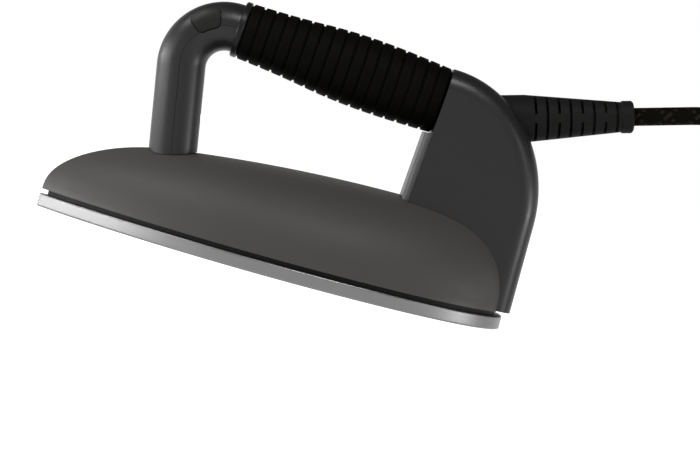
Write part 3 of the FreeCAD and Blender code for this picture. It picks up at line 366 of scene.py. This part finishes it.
def moulded_plastic(name, base, rough, shine=0.12, grain=2600, grain_depth=0.000012, cloud=0.07, rub=0.06):
    """Spark-textured moulding: fine even grain, a faint cloud in its colour, and rubbed patches."""
    finish = Finish(name, Specular_IOR_Level=shine)
    fine = finish.noise(grain, detail=3)
    pits = finish.cells(grain * 0.55)
    clouds = finish.noise(28, detail=3)
    rubbed = finish.noise(60, detail=4, roughness=0.62).ease(0.5, 0.72)
    lines = finish.noise(40, detail=2, place=finish.stretched((9, 60, 60), (0.3, 0.5, 0.2))).ease(0.62, 0.7)
    return finish.wear(
        finish.shade(base, cloud, clouds * 0.75 + fine * 0.25),
        rough + clouds * 0.06 - rubbed * rub - lines * 0.03,
        fine * 0.6 + pits * 0.4 - lines * 0.12,
        grain_depth,
    )


def body_plastic(name, base):
    """The body's soft, warm matte moulding, a little polished where cloth rubs along its rim."""
    finish = Finish(name, Specular_IOR_Level=0.15)
    fine = finish.noise(2300, detail=3)
    pits = finish.cells(1500)
    clouds = finish.noise(22, detail=3)
    height = finish.split(finish.place)[2]
    rim = 1 - height.ease(0.0092, 0.0125)
    scuffs = finish.noise(45, detail=4, place=finish.stretched((1, 3, 14))).ease(0.55, 0.75)
    return finish.wear(
        finish.shade(base, 0.08, clouds * 0.7 + fine * 0.2 + rim * scuffs * 0.3),
        0.50 + clouds * 0.08 - rim * 0.12 - scuffs * 0.05,
        fine * 0.6 + pits * 0.4,
        0.000012,
    )


def soft_rubber(name, base, rough=0.62):
    """Moulded rubber with a dry, uneven bloom and dust in its texture."""
    finish = Finish(name, Specular_IOR_Level=0.03)
    fine = finish.noise(1900, detail=4, roughness=0.6)
    bloom = finish.noise(90, detail=4, roughness=0.6)
    dust = finish.noise(1100, detail=2).ease(0.66, 0.74)
    return finish.wear(
        finish.mix(dust * 0.03, finish.shade(base, 0.25, bloom), (0.05, 0.048, 0.045, 1)),
        rough + bloom * 0.14 - fine * 0.06,
        fine * 0.7 + bloom * 0.3,
        0.00002,
    )


def polished_steel(name, base, rough=0.32):
    """Polished plate: fine lines along its length, and cloudy marks from use."""
    finish = Finish(name, Metallic=1.0)
    lines = finish.noise(260, detail=5, roughness=0.7, place=finish.stretched((0.05, 9, 9)))
    marks = finish.noise(34, detail=5, roughness=0.6).ease(0.45, 0.8)
    scratches = finish.cells(60, "DISTANCE_TO_EDGE", finish.stretched((0.25, 5, 5), (0, 0, 0.35)))
    hair = 1 - scratches.ease(0.0, 0.012)
    return finish.wear(
        finish.shade(base, 0.06, lines * 0.6 + marks * 0.4),
        rough + lines * 0.07 + marks * 0.06 + hair * 0.05,
        lines * 0.7 - hair * 0.3,
        0.000004,
    )


def cast_metal(name, base, rough=0.42):
    """Die-cast aluminium: grainy, with flow marks and fine sunk pores, which are painted darker as painted
    shade.
    """
    finish = Finish(name, Metallic=1.0)
    fine = finish.noise(1100, detail=4, roughness=0.65)
    flow = finish.noise(45, detail=5, place=finish.stretched((1, 3.5, 2)))
    pores = 1 - finish.cells(420).ease(0.05, 0.16)
    return finish.wear(
        # Painted shade: the colour is darker in the pores, where the bump sinks them.
        finish.shade(base, 0.16, flow * 0.7 + fine * 0.3 - pores * 0.4),
        rough + flow * 0.16 + pores * 0.2,
        fine - pores * 1.4,
        0.00004,
    )


def rolled_metal(name, base, rough=0.32, along=(0.06, 6, 6), tint=0.08):
    """Rolled, turned or pressed metal: drawn lines one way and a slight stain."""
    finish = Finish(name, Metallic=1.0)
    drawn = finish.noise(420, detail=4, roughness=0.65, place=finish.stretched(along))
    stain = finish.noise(140, detail=4)
    return finish.wear(
        finish.shade(base, tint, stain * 0.6 + drawn * 0.4),
        rough + drawn * 0.12 + stain * 0.08,
        drawn,
        0.000008,
    )


def heated_steel(name, base):
    """The element's sheath, straw to blue where it has been hot."""
    finish = Finish(name, Metallic=1.0)
    heat = finish.noise(38, detail=3).ease(0.35, 0.7)
    fine = finish.noise(900, detail=4)
    straw = (*(c * f for c, f in zip(base, (1.0, 0.82, 0.58))), 1)
    blue = (*(c * f for c, f in zip(base, (0.55, 0.6, 0.8))), 1)
    return finish.wear(finish.mix(heat, straw, blue), 0.34 + fine * 0.16, fine, 0.00001)


def glazed_ceramic(name, base):
    """Pressed ceramic: fine specks and a thin uneven glaze."""
    finish = Finish(name, IOR=1.55)
    specks = finish.cells(900).ease(0.1, 0.35)
    fine = finish.noise(700, detail=4)
    return finish.wear(
        finish.shade(base, 0.06, specks * 0.5 + fine * 0.5),
        0.34 + fine * 0.2,
        fine * 0.6 + specks * 0.4,
        0.00002,
    )


def translucent_silicone(name, base):
    """Moulded silicone with a faint orange-peel surface."""
    finish = Finish(name, IOR=1.41, Subsurface_Weight=0.2, Subsurface_Radius=(0.002, 0.0015, 0.0012))
    peel = finish.noise(520, detail=2)
    cloud = finish.noise(70, detail=3)
    return finish.wear(finish.shade(base, 0.08, cloud), 0.38 + cloud * 0.14, peel, 0.00002)


def woven_braid(name, dark, pale, yarns):
    """A braid of dark yarn with pale flecks, on the hose's own map, with painted shade between the yarns and a
    painted highlight on their crowns.

    Along the hose, u is in turns of the yarn, and v goes once round it.
    """
    finish = Finish(name, Specular_IOR_Level=0.03)
    u, v, _ = finish.split(finish.node("ShaderNodeUVMap", {"uv_map": "Braid"}).outputs[0])
    one_way = (u + v) * yarns
    other_way = (u - v) * yarns
    over = ((one_way.floor() + other_way.floor()) * 0.5).part() > 0.25
    across_one = (one_way.part() * math.pi).sine()
    across_other = (other_way.part() * math.pi).sine()
    yarn = across_one * over + across_other * (1 - over)
    fleck_one = ((one_way.floor() / yarns * 2).part() < 0.16) * over
    fleck_other = ((other_way.floor() / yarns * 2).part() < 0.16) * (1 - over)
    strands = ((one_way * over + other_way * (1 - over)) * 5).part()
    fuzz = finish.noise(3200, detail=3)
    fleck = (fleck_one + fleck_other) * (fuzz * 0.5 + 0.6)
    # Painted shade and highlight: each yarn is painted darker at its edges, between the yarns, and lighter on
    # its crown; fuzz adds random tone.
    fuzz_and_painted_yarn_shade = finish.shade(dark, 0.55, yarn * 0.6 + fuzz * 0.4)
    return finish.wear(
        finish.mix(fleck, fuzz_and_painted_yarn_shade, (*pale, 1)),
        0.72 + fuzz * 0.16 - yarn * 0.08,
        yarn * 0.75 + strands * 0.1 + fuzz * 0.15,
        0.00028,
    )


def floor_paint(name):
    """The studio's pale floor, lit through from below, with the faintest unevenness."""
    finish = Finish(name, Specular_IOR_Level=0.0, Emission_Color=(1, 1, 1, 1), Emission_Strength=0.9)
    cloud = finish.noise(3, detail=3)
    return finish.wear(finish.shade((0.55, 0.55, 0.55), 0.012, cloud), 0.7 + cloud * 0.1)


# ---- plain helpers ---------------------------------------------------------------------------------


def dress(material, *names):
    """Gives CAD nodes a finish, in their own slots."""
    for name in names:
        mesh = NODES[name].data
        mesh.materials.clear()
        mesh.materials.append(material)


def add_piece(name, mesh, material, body, replaced=()):
    """A finished piece in its place, riding on a body."""
    piece = bpy.data.objects.new(name, mesh)
    bpy.context.scene.collection.objects.link(piece)
    mesh.materials.clear()
    mesh.materials.append(material)
    mesh.shade_smooth()
    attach(piece, body)
    if replaced:
        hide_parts(*replaced)
    return piece


def clean(mesh, gap=1e-6):
    """Merges doubled points and turns the faces outwards."""
    shape = bmesh.new()
    shape.from_mesh(mesh)
    bmesh.ops.remove_doubles(shape, verts=shape.verts, dist=gap)
    bmesh.ops.recalc_face_normals(shape, faces=shape.faces)
    shape.to_mesh(mesh)
    shape.free()
    return mesh


def grown(name, tree, inputs):
    """The plain mesh that a geometry tree makes, with inputs by their names."""
    seed = bpy.data.objects.new(name, bpy.data.meshes.new(name))
    bpy.context.scene.collection.objects.link(seed)
    modifier = seed.modifiers.new(name, "NODES")
    modifier.node_group = tree
    for socket in tree.interface.items_tree:
        if socket.in_out == "INPUT" and socket.name in inputs:
            modifier[socket.identifier] = inputs[socket.name]
    made = bpy.data.meshes.new_from_object(seed.evaluated_get(bpy.context.evaluated_depsgraph_get()))
    bpy.data.objects.remove(seed)
    made.name = name
    return made


def geometry_tree(name, inputs):
    """A geometry tree with named inputs, as a graph, its input fields by name, and its end."""
    tree = bpy.data.node_groups.new(name, "GeometryNodeTree")
    tree.is_modifier = True
    tree.interface.new_socket("Geometry", in_out="OUTPUT", socket_type="NodeSocketGeometry")
    for title, kind in inputs.items():
        tree.interface.new_socket(title, in_out="INPUT", socket_type=f"NodeSocket{kind}")
    graph = Graph(tree)
    source = graph.node("NodeGroupInput")
    fields = {title: Field(graph, source.outputs[title]) for title in inputs}
    return graph, fields


def finish_tree(graph, geometry, material):
    """Ends a geometry tree: instances made real, and the finish set."""
    real = graph.node("GeometryNodeRealizeInstances", sockets={0: geometry})
    painted = graph.node("GeometryNodeSetMaterial", sockets={"Geometry": real.outputs[0], "Material": material})
    graph.node("NodeGroupOutput", sockets={0: painted.outputs[0]})
    return graph.tree


# ---- ribbed sleeve ---------------------------------------------------------------------------------


def sleeve_tree(rows, sides):
    """The sleeve as one closed skin: a grid rolled round the grip, with a groove between each two lands."""
    kinds = {"Length": "Float", "Ribs": "Int", "Groove": "Float", "Depth": "Float", "Rounding": "Float"}
    kinds.update({"Bore": "Float", "Place": "Vector", "Slope": "Vector", "Material": "Material"})
    graph, given = geometry_tree("Ribbed sleeve", kinds)
    sockets = {"Size X": 1.0, "Size Y": 1.0, "Vertices X": rows + 3, "Vertices Y": sides + 1}
    grid = graph.node("GeometryNodeMeshGrid", sockets=sockets)
    x, y, _ = graph.split(graph.node("GeometryNodeInputPosition").outputs[0])
    row = (x + 0.5) * (rows + 2)
    turned = (y + 0.5) * math.tau
    share = ((row - 1) / (rows - 1)).held()
    outside = (row > 0.5) * (row < rows + 0.5)
    along = share * (row < rows + 1.5) * given["Length"]
    swell = graph.node(
        "ShaderNodeFloatCurve",
        {"curve": [(i / (len(SLEEVE_RADII) - 1), (r - 0.010) * 100) for i, r in enumerate(SLEEVE_RADII)]},
        {"Value": share},
    )
    radius = Field(graph, swell.outputs[0]) / 100 + 0.010
    pitch = given["Length"] / given["Ribs"]
    from_groove = (0.5 - abs((share * given["Ribs"]).part() - 0.5)) * pitch
    edge = given["Groove"] * 0.5
    land = ((from_groove - edge) / given["Rounding"]).round_over()
    skin = radius - (1 - land) * given["Depth"]
    reach = skin * outside + given["Bore"] * (1 - outside)
    sockets = {0: along, 1: reach * turned.sine(), 2: reach * (turned + math.pi / 2).sine()}
    rolled = graph.node("ShaderNodeCombineXYZ", sockets=sockets)
    sockets = {"Geometry": grid.outputs[0], "Position": rolled.outputs[0]}
    moved = graph.node("GeometryNodeSetPosition", sockets=sockets)
    sockets = {"Geometry": moved.outputs[0], "Distance": 1e-6}
    merged = graph.node("GeometryNodeMergeByDistance", sockets=sockets)
    placed = graph.node(
        "GeometryNodeTransform",
        sockets={"Geometry": merged.outputs[0], "Translation": given["Place"], "Rotation": given["Slope"]},
    )
    return finish_tree(graph, placed.outputs[0], given["Material"])


# ---- operators: one for each piece or group of like pieces ----------------------------------------


class IRON_OT_sleeve(bpy.types.Operator):
    """Make the ribbed rubber sleeve of the grip"""

    bl_idname = "iron.sleeve"
    bl_label = "Ribbed sleeve"

    def execute(self, context):
        sizes = context.scene.iron_grip
        rubber = soft_rubber("Grip_rubber", context.scene.iron_colours.rubber, 0.6)
        inputs = {
            "Length": SLEEVE_LENGTH,
            "Ribs": sizes.ribs,
            "Groove": sizes.groove,
            "Depth": sizes.depth,
            "Rounding": sizes.rounding,
            "Bore": SLEEVE_BORE,
            "Place": GRIP_START + Vector((math.cos(GRIP_SLOPE), 0, -math.sin(GRIP_SLOPE))) * SLEEVE_FROM,
            "Slope": (0.0, GRIP_SLOPE, 0.0),
            "Material": rubber,
        }
        mesh = clean(grown("Ribbed_sleeve", sleeve_tree(rows=400, sides=72), inputs))
        add_piece("Ribbed_sleeve", mesh, rubber, "iron", ["rubber_grip"])
        return {"FINISHED"}


class IRON_OT_body(bpy.types.Operator):
    """Dress the body cover and the skirt under it"""

    bl_idname = "iron.body"
    bl_label = "Body cover and skirt"

    def execute(self, context):
        colours = context.scene.iron_colours
        dress(body_plastic("Body_plastic", colours.body), "body_cover")
        dress(moulded_plastic("Skirt_plastic", colours.black, 0.55), "base_skirt")
        return {"FINISHED"}


class IRON_OT_handle(bpy.types.Operator):
    """Dress the post and bend's two shells, their collar, foot and core"""

    bl_idname = "iron.handle"
    bl_label = "Handle"

    def execute(self, context):
        colours = context.scene.iron_colours
        shell = moulded_plastic("Handle_plastic", colours.handle, 0.34, shine=0.26, cloud=0.05)
        dress(shell, "handle_front_shell", "handle_rear_shell")
        dress(moulded_plastic("Collar_plastic", colours.handle, 0.3, grain_depth=0.000006), "grip_collar")
        dress(moulded_plastic("Core_plastic", (0.02, 0.021, 0.022), 0.48), "handle_foot", "grip_core")
        return {"FINISHED"}


class IRON_OT_button(bpy.types.Operator):
    """Dress the steam button and its switch"""

    bl_idname = "iron.button"
    bl_label = "Steam button"

    def execute(self, context):
        colours = context.scene.iron_colours
        dress(moulded_plastic("Button_plastic", colours.button, 0.42, grain=3400, rub=0.14), "steam_button")
        switch = moulded_plastic("Switch_plastic", (0.014, 0.015, 0.02), 0.35, grain=1800)
        dress(switch, "switch_body", "switch_bracket")
        dress(moulded_plastic("Plunger_plastic", (0.45, 0.08, 0.05), 0.3, grain=1800), "switch_plunger")
        return {"FINISHED"}


class IRON_OT_housing(bpy.types.Operator):
    """Dress the rear housing and the strip in front of it"""

    bl_idname = "iron.housing"
    bl_label = "Rear housing"

    def execute(self, context):
        colours = context.scene.iron_colours
        dress(moulded_plastic("Housing_plastic", colours.housing, 0.34, shine=0.26, cloud=0.05), "rear_housing")
        dress(moulded_plastic("Strip_plastic", colours.strip, 0.34, cloud=0.04), "housing_strip")
        dress(moulded_plastic("Clamp_plastic", (0.03, 0.03, 0.032), 0.5), "cord_clamp")
        return {"FINISHED"}


class IRON_OT_sole(bpy.types.Operator):
    """Dress the polished soleplate and the cast heater over it"""

    bl_idname = "iron.sole"
    bl_label = "Soleplate and heater"

    def execute(self, context):
        dress(polished_steel("Polished_sole", (0.16, 0.16, 0.16)), "soleplate")
        dress(cast_metal("Cast_aluminium", (0.56, 0.56, 0.57)), "heater_casting")
        dress(heated_steel("Element_sheath", (0.52, 0.48, 0.42)), "heating_element")
        return {"FINISHED"}


class IRON_OT_fittings(bpy.types.Operator):
    """Dress the metal, ceramic and silicone parts inside the iron"""

    bl_idname = "iron.fittings"
    bl_label = "Inner fittings"

    def execute(self, context):
        sheet = rolled_metal("Sheet_steel", (0.50, 0.50, 0.50), 0.36)
        dress(sheet, "steam_chamber_cover", "thermostat_bracket", "heat_shield")
        screws = rolled_metal("Screw_steel", (0.48, 0.47, 0.45), 0.26, along=(3, 3, 0.4))
        dress(screws, "chamber_screws", "shield_screws", "handle_screws", "clamp_screws")
        brass = rolled_metal("Brass", (0.66, 0.47, 0.22), 0.26, along=(0.3, 4, 4), tint=0.12)
        dress(brass, "steam_inlet", "thermal_fuse", "terminal_screws", "earth_tag")
        dress(glazed_ceramic("Ceramic", (0.62, 0.60, 0.55)), "thermostat", "shield_spacers", "terminal_block")
        dress(translucent_silicone("Silicone", (0.52, 0.14, 0.07)), "steam_chamber_gasket", "steam_tube")
        leads = moulded_plastic("Lead_sleeving", (0.35, 0.33, 0.28), 0.55, grain=1500, cloud=0.12)
        dress(leads, "switch_leads", "power_leads")
        return {"FINISHED"}


class IRON_OT_boot(bpy.types.Operator):
    """Dress the slotted rubber boot and the hose inside it"""

    bl_idname = "iron.boot"
    bl_label = "Hose boot"

    def execute(self, context):
        dress(soft_rubber("Boot_rubber", context.scene.iron_colours.boot, 0.5), "hose_boot", "connector_boot")
        dress(soft_rubber("Inner_hose_rubber", (0.02, 0.018, 0.016), 0.6), "hose_inner_end")
        return {"FINISHED"}


def held(share):
    """Kept between 0 and 1."""
    return min(1.0, max(0.0, share))


def eased(share):
    """0 to 1 with a smooth start and end."""
    return share * share * (3 - 2 * share)


def coil_points():
    """The coil's own turns: three inwards on top, down a layer, and back out to the side they leave by."""
    points = []
    for step in range(round((COIL_LAST - COIL_FIRST) / COIL_STEP) + 1):
        angle = COIL_FIRST + COIL_STEP * step
        wound = angle + COIL_LEAD_IN
        if wound < TOP_LAYER_END:
            turn = min(2, max(0, int(wound // 360)))
            shift = held((wound % 360 - CROSSING[0]) / CROSSING[1]) if turn < 2 else 0.0
            radius = COIL_RADII[turn] - eased(shift) * (COIL_RADII[0] - COIL_RADII[1])
            radius -= max(0.0, (wound - TUCK_IN[0]) / TUCK_IN[1]) * 0.001
        else:
            radius = COIL_RADII[2] + (COIL_RADII[0] - COIL_RADII[2]) * (wound - WAY_OUT[0]) / WAY_OUT[1]
        drop = eased(held((wound - LAYER_DROP[0]) / LAYER_DROP[1]))
        height = COIL_HEIGHTS[0] + (COIL_HEIGHTS[1] - COIL_HEIGHTS[0]) * drop
        reach = radius / math.cos(math.radians(COIL_STEP / 2))
        turned = math.radians(angle)
        points.append(COIL_CENTRE + Vector((reach * math.cos(turned), reach * math.sin(turned), height)))
    return points


def hose_line():
    """The hose's centre line as points read from its one smooth spline, and its length."""
    places = [Vector(p) for p in HOSE_ROUTE] + coil_points() + [Vector(p) for p in HOSE_TAIL]
    line = bpy.data.curves.new("Hose_line", "CURVE")
    line.dimensions = "3D"
    line.resolution_u = 8
    spline = line.splines.new("NURBS")
    spline.points.add(len(places) - 1)
    for point, place in zip(spline.points, places):
        point.co = (*place, 1)
    spline.order_u = 3
    spline.use_endpoint_u = True
    holder = bpy.data.objects.new("Hose_line", line)
    bpy.context.scene.collection.objects.link(holder)
    mesh = bpy.data.meshes.new_from_object(holder.evaluated_get(bpy.context.evaluated_depsgraph_get()))
    route = [vertex.co.copy() for vertex in mesh.vertices]
    bpy.data.objects.remove(holder)
    bpy.data.meshes.remove(mesh)
    return route, sum((b - a).length for a, b in zip(route, route[1:]))


def tube_along(name, route, radius, sides, turn):
    """A round tube along a route, closed at both ends, with the braid's own map."""
    shape = bmesh.new()
    braid = shape.loops.layers.uv.new("Braid")
    rings = []
    travelled = [0.0]
    side = Vector((0, 1, 0))
    for i, place in enumerate(route):
        ahead = route[min(i + 1, len(route) - 1)] - route[max(i - 1, 0)]
        ahead.normalize()
        side = (side - ahead * side.dot(ahead)).normalized()
        up = ahead.cross(side)
        ring = []
        for j in range(sides):
            angle = math.tau * j / sides
            ring.append(shape.verts.new(place + (side * math.cos(angle) + up * math.sin(angle)) * radius))
        rings.append(ring)
        if i:
            travelled.append(travelled[-1] + (place - route[i - 1]).length)
    for i, (first, second) in enumerate(zip(rings, rings[1:])):
        for j in range(sides):
            k = (j + 1) % sides
            face = shape.faces.new((first[j], first[k], second[k], second[j]))
            marks = ((i, j), (i, j + 1), (i + 1, j + 1), (i + 1, j))
            for loop, (along, around) in zip(face.loops, marks):
                loop[braid].uv = (travelled[along] / turn, around / sides)
    shape.faces.new(rings[0][::-1])
    shape.faces.new(rings[-1])
    bmesh.ops.recalc_face_normals(shape, faces=shape.faces)
    mesh = bpy.data.meshes.new(name)
    shape.to_mesh(mesh)
    shape.free()
    return mesh


class IRON_OT_hose(bpy.types.Operator):
    """Make the braided hose from the boot to its connector, wound up for storage"""

    bl_idname = "iron.hose"
    bl_label = "Braided hose"

    def execute(self, context):
        sizes, colours = context.scene.iron_hose, context.scene.iron_colours
        route, length = hose_line()
        braid = woven_braid("Hose_braid", colours.hose, colours.fleck, sizes.yarns)
        mesh = tube_along("Braided_hose", route, sizes.diameter / 2, 20, sizes.turn)
        solids = ["hose_run", "hose_coil", "hose_tail"]
        hose = add_piece("Braided_hose", mesh, braid, "iron", solids)
        print("hose length", round(length, 4))
        return {"FINISHED"}


def ridge_tree():
    """A row of low moulded ridges."""
    kinds = {"Count": "Int", "Pitch": "Float", "Size": "Vector", "Place": "Vector", "Material": "Material"}
    graph, given = geometry_tree("Moulded ridges", kinds)
    step = graph.node("ShaderNodeCombineXYZ", sockets={0: given["Pitch"]})
    sockets = {"Count": given["Count"], "Start Location": given["Place"], "Offset": step.outputs[0]}
    line = graph.node("GeometryNodeMeshLine", sockets=sockets)
    bead = graph.node("GeometryNodeMeshUVSphere", sockets={"Segments": 20, "Rings": 10, "Radius": 1.0})
    row = graph.node(
        "GeometryNodeInstanceOnPoints",
        sockets={"Points": line.outputs[0], "Instance": bead.outputs[0], "Scale": given["Size"]},
    )
    return finish_tree(graph, row.outputs[0], given["Material"])


class IRON_OT_connector(bpy.types.Operator):
    """Dress the hose's connector and mould thumb ridges on it"""

    bl_idname = "iron.connector"
    bl_label = "Hose connector"

    def execute(self, context):
        shell = moulded_plastic("Connector_plastic", context.scene.iron_colours.black, 0.4, cloud=0.1)
        dress(shell, "connector_body")
        brass = rolled_metal("Connector_brass", (0.70, 0.52, 0.26), 0.2, along=(0.3, 5, 5), tint=0.1)
        dress(brass, "connector_nipple")
        dress(rolled_metal("Plated_pins", (0.62, 0.61, 0.58), 0.18, along=(0.3, 5, 5)), "connector_pins")
        dress(translucent_silicone("Seal_silicone", (0.30, 0.05, 0.03)), "connector_seal")
        inputs = {
            "Count": RIDGE_COUNT,
            "Pitch": RIDGE_PITCH,
            "Size": RIDGE_SIZE,
            "Place": RIDGES_FROM,
            "Material": shell,
        }
        mesh = clean(grown("Connector_ridges", ridge_tree(), inputs))
        add_piece("Connector_ridges", mesh, shell, "iron")
        return {"FINISHED"}


def strap_ring(shape, angle):
    """One closed strap round the coil's bundle, at an angle round the coil."""
    out = Vector((math.cos(angle), math.sin(angle), 0))
    along = Vector((-out.y, out.x, 0))
    middle = (COIL_RADII[0] + COIL_RADII[2]) / 2
    half_reach = (COIL_RADII[0] - COIL_RADII[2]) / 2 + 0.0047
    top, corner = COIL_HEIGHTS[0] + 0.0050, 0.0046
    loops = []
    for step in range(48):
        turn = math.tau * (step + 0.5) / 48
        lean, rise = math.cos(turn), math.sin(turn)
        height = top / 2 + math.copysign(top / 2 - corner, rise)
        centre = Vector((math.copysign(half_reach - corner, lean), height))
        loop = []
        for inset, side in ((0, -1), (0, 1), (TIE_THICK, 1), (TIE_THICK, -1)):
            place = centre + Vector((lean, rise)) * (corner - inset)
            flat = COIL_CENTRE + out * (middle + place.x) + along * (side * TIE_WIDTH / 2)
            loop.append(shape.verts.new(flat + Vector((0, 0, place.y))))
        loops.append(loop)
    for i, loop in enumerate(loops):
        beyond = loops[(i + 1) % len(loops)]
        for j in range(4):
            k = (j + 1) % 4
            shape.faces.new((loop[j], loop[k], beyond[k], beyond[j]))


class IRON_OT_ties(bpy.types.Operator):
    """Make the two rubber ties that hold the spare hose in its coil"""

    bl_idname = "iron.ties"
    bl_label = "Coil ties"

    def execute(self, context):
        shape = bmesh.new()
        for angle in TIE_ANGLES:
            strap_ring(shape, math.radians(angle))
        bmesh.ops.recalc_face_normals(shape, faces=shape.faces)
        mesh = bpy.data.meshes.new("Coil_ties")
        shape.to_mesh(mesh)
        shape.free()
        rubber = soft_rubber("Tie_rubber", (0.012, 0.012, 0.012), 0.55)
        ties = add_piece("Coil_ties", mesh, rubber, "iron")
        edge = ties.modifiers.new("Edge", "BEVEL")
        edge.width = 0.0002
        edge.segments = 2
        edge.limit_method = "ANGLE"
        return {"FINISHED"}


def aim(place, target):
    """The turn that points a light from a place at a target."""
    return (Vector(target) - Vector(place)).to_track_quat("-Z", "Y").to_matrix().to_4x4()


def softbox(name, place, target, size, power):
    """A large soft light."""
    lamp = bpy.data.lights.new(name, "AREA")
    lamp.shape = "RECTANGLE"
    lamp.size, lamp.size_y = size
    lamp.energy = power
    made = bpy.data.objects.new(name, lamp)
    made.matrix_world = Matrix.Translation(place) @ aim(place, target)
    bpy.context.scene.collection.objects.link(made)


class IRON_OT_stage(bpy.types.Operator):
    """Set up the pale floor, the soft studio lights and the camera"""

    bl_idname = "iron.stage"
    bl_label = "Studio"

    def execute(self, context):
        sizes = context.scene.iron_stage
        shape = bmesh.new()
        bmesh.ops.create_circle(shape, cap_ends=True, segments=96, radius=FLOOR_RADIUS)
        bmesh.ops.translate(shape, verts=shape.verts, vec=(0, 0, -0.0001))
        mesh = bpy.data.meshes.new("Studio_floor")
        shape.to_mesh(mesh)
        shape.free()
        mesh.materials.append(floor_paint("Studio_floor_paint"))
        floor = bpy.data.objects.new("Studio_floor", mesh)
        context.scene.collection.objects.link(floor)

        world = bpy.data.worlds.new("Studio_sky")
        world.use_nodes = True
        graph = Graph(world.node_tree)
        height = graph.split(graph.node("ShaderNodeTexCoord").outputs["Generated"])[2]
        sockets = {0: height.ease(*SKY_HEIGHTS), 6: SKY_BRIGHT, 7: SKY_DIM}
        light = graph.node("ShaderNodeMix", {"data_type": "RGBA"}, sockets).outputs[2]
        sky = world.node_tree.nodes["Background"]
        world.node_tree.links.new(light, sky.inputs["Color"])
        sky.inputs["Strength"].default_value = sizes.sky
        context.scene.world = world
        context.scene.view_settings.view_transform = "Standard"

        for name, (place, target, size, share) in SOFTBOXES.items():
            softbox(name, place, target, size, sizes.key * share)

        across = math.cos(sizes.elevation)
        away = Vector(
            (-math.sin(sizes.swing) * across, -math.cos(sizes.swing) * across, math.sin(sizes.elevation))
        )
        level = (-away).cross(Vector((0, 0, 1))).normalized()
        upright = level.cross(-away)
        right = level * math.cos(sizes.roll) + upright * math.sin(sizes.roll)
        up = upright * math.cos(sizes.roll) - level * math.sin(sizes.roll)
        facing = Matrix((right, up, away)).transposed()
        lens = bpy.data.cameras.new("Studio_camera")
        lens.sensor_width = 36.0
        lens.lens = sizes.lens
        lens.clip_start = 0.05
        camera = bpy.data.objects.new("Studio_camera", lens)
        camera.matrix_world = Matrix.Translation(CAMERA_TARGET + away * sizes.reach) @ facing.to_4x4()
        context.scene.collection.objects.link(camera)
        context.scene.camera = camera
        return {"FINISHED"}


class IRON_PT_sidebar(bpy.types.Panel):
    """The iron's sizes, colours and makers"""

    bl_idname = "IRON_PT_sidebar"
    bl_label = "Steam-station iron"
    bl_space_type = "VIEW_3D"
    bl_region_type = "UI"
    bl_category = "Iron"

    def draw(self, context):
        for operator in OPERATORS:
            self.layout.operator(operator.bl_idname)
        for group in GROUPS:
            settings = getattr(context.scene, group)
            box = self.layout.box()
            for name in settings.bl_rna.properties.keys():
                if name not in ("name", "rna_type"):
                    box.prop(settings, name)


GROUPS = {"iron_colours": IronColours, "iron_grip": GripSizes, "iron_hose": HoseSizes, "iron_stage": StageSizes}
OPERATORS = (
    IRON_OT_stage,
    IRON_OT_connector,
    IRON_OT_ties,
    IRON_OT_hose,
    IRON_OT_boot,
    IRON_OT_sleeve,
    IRON_OT_body,
    IRON_OT_handle,
    IRON_OT_button,
    IRON_OT_housing,
    IRON_OT_sole,
    IRON_OT_fittings,
)


def register():
    """Adds the iron's settings, makers and panel to Blender."""
    for name, group in GROUPS.items():
        bpy.utils.register_class(group)
        setattr(bpy.types.Scene, name, bpy.props.PointerProperty(type=group))
    for made in (*OPERATORS, IRON_PT_sidebar):
        bpy.utils.register_class(made)


def unregister():
    """Takes them away again."""
    for made in (IRON_PT_sidebar, *OPERATORS[::-1]):
        bpy.utils.unregister_class(made)
    for name, group in GROUPS.items():
        delattr(bpy.types.Scene, name)
        bpy.utils.unregister_class(group)


def main():
    """Makes every piece in order."""
    register()
    for operator in OPERATORS:
        group, name = operator.bl_idname.split(".")
        getattr(getattr(bpy.ops, group), name)()


if __name__ == "__main__":
    main()
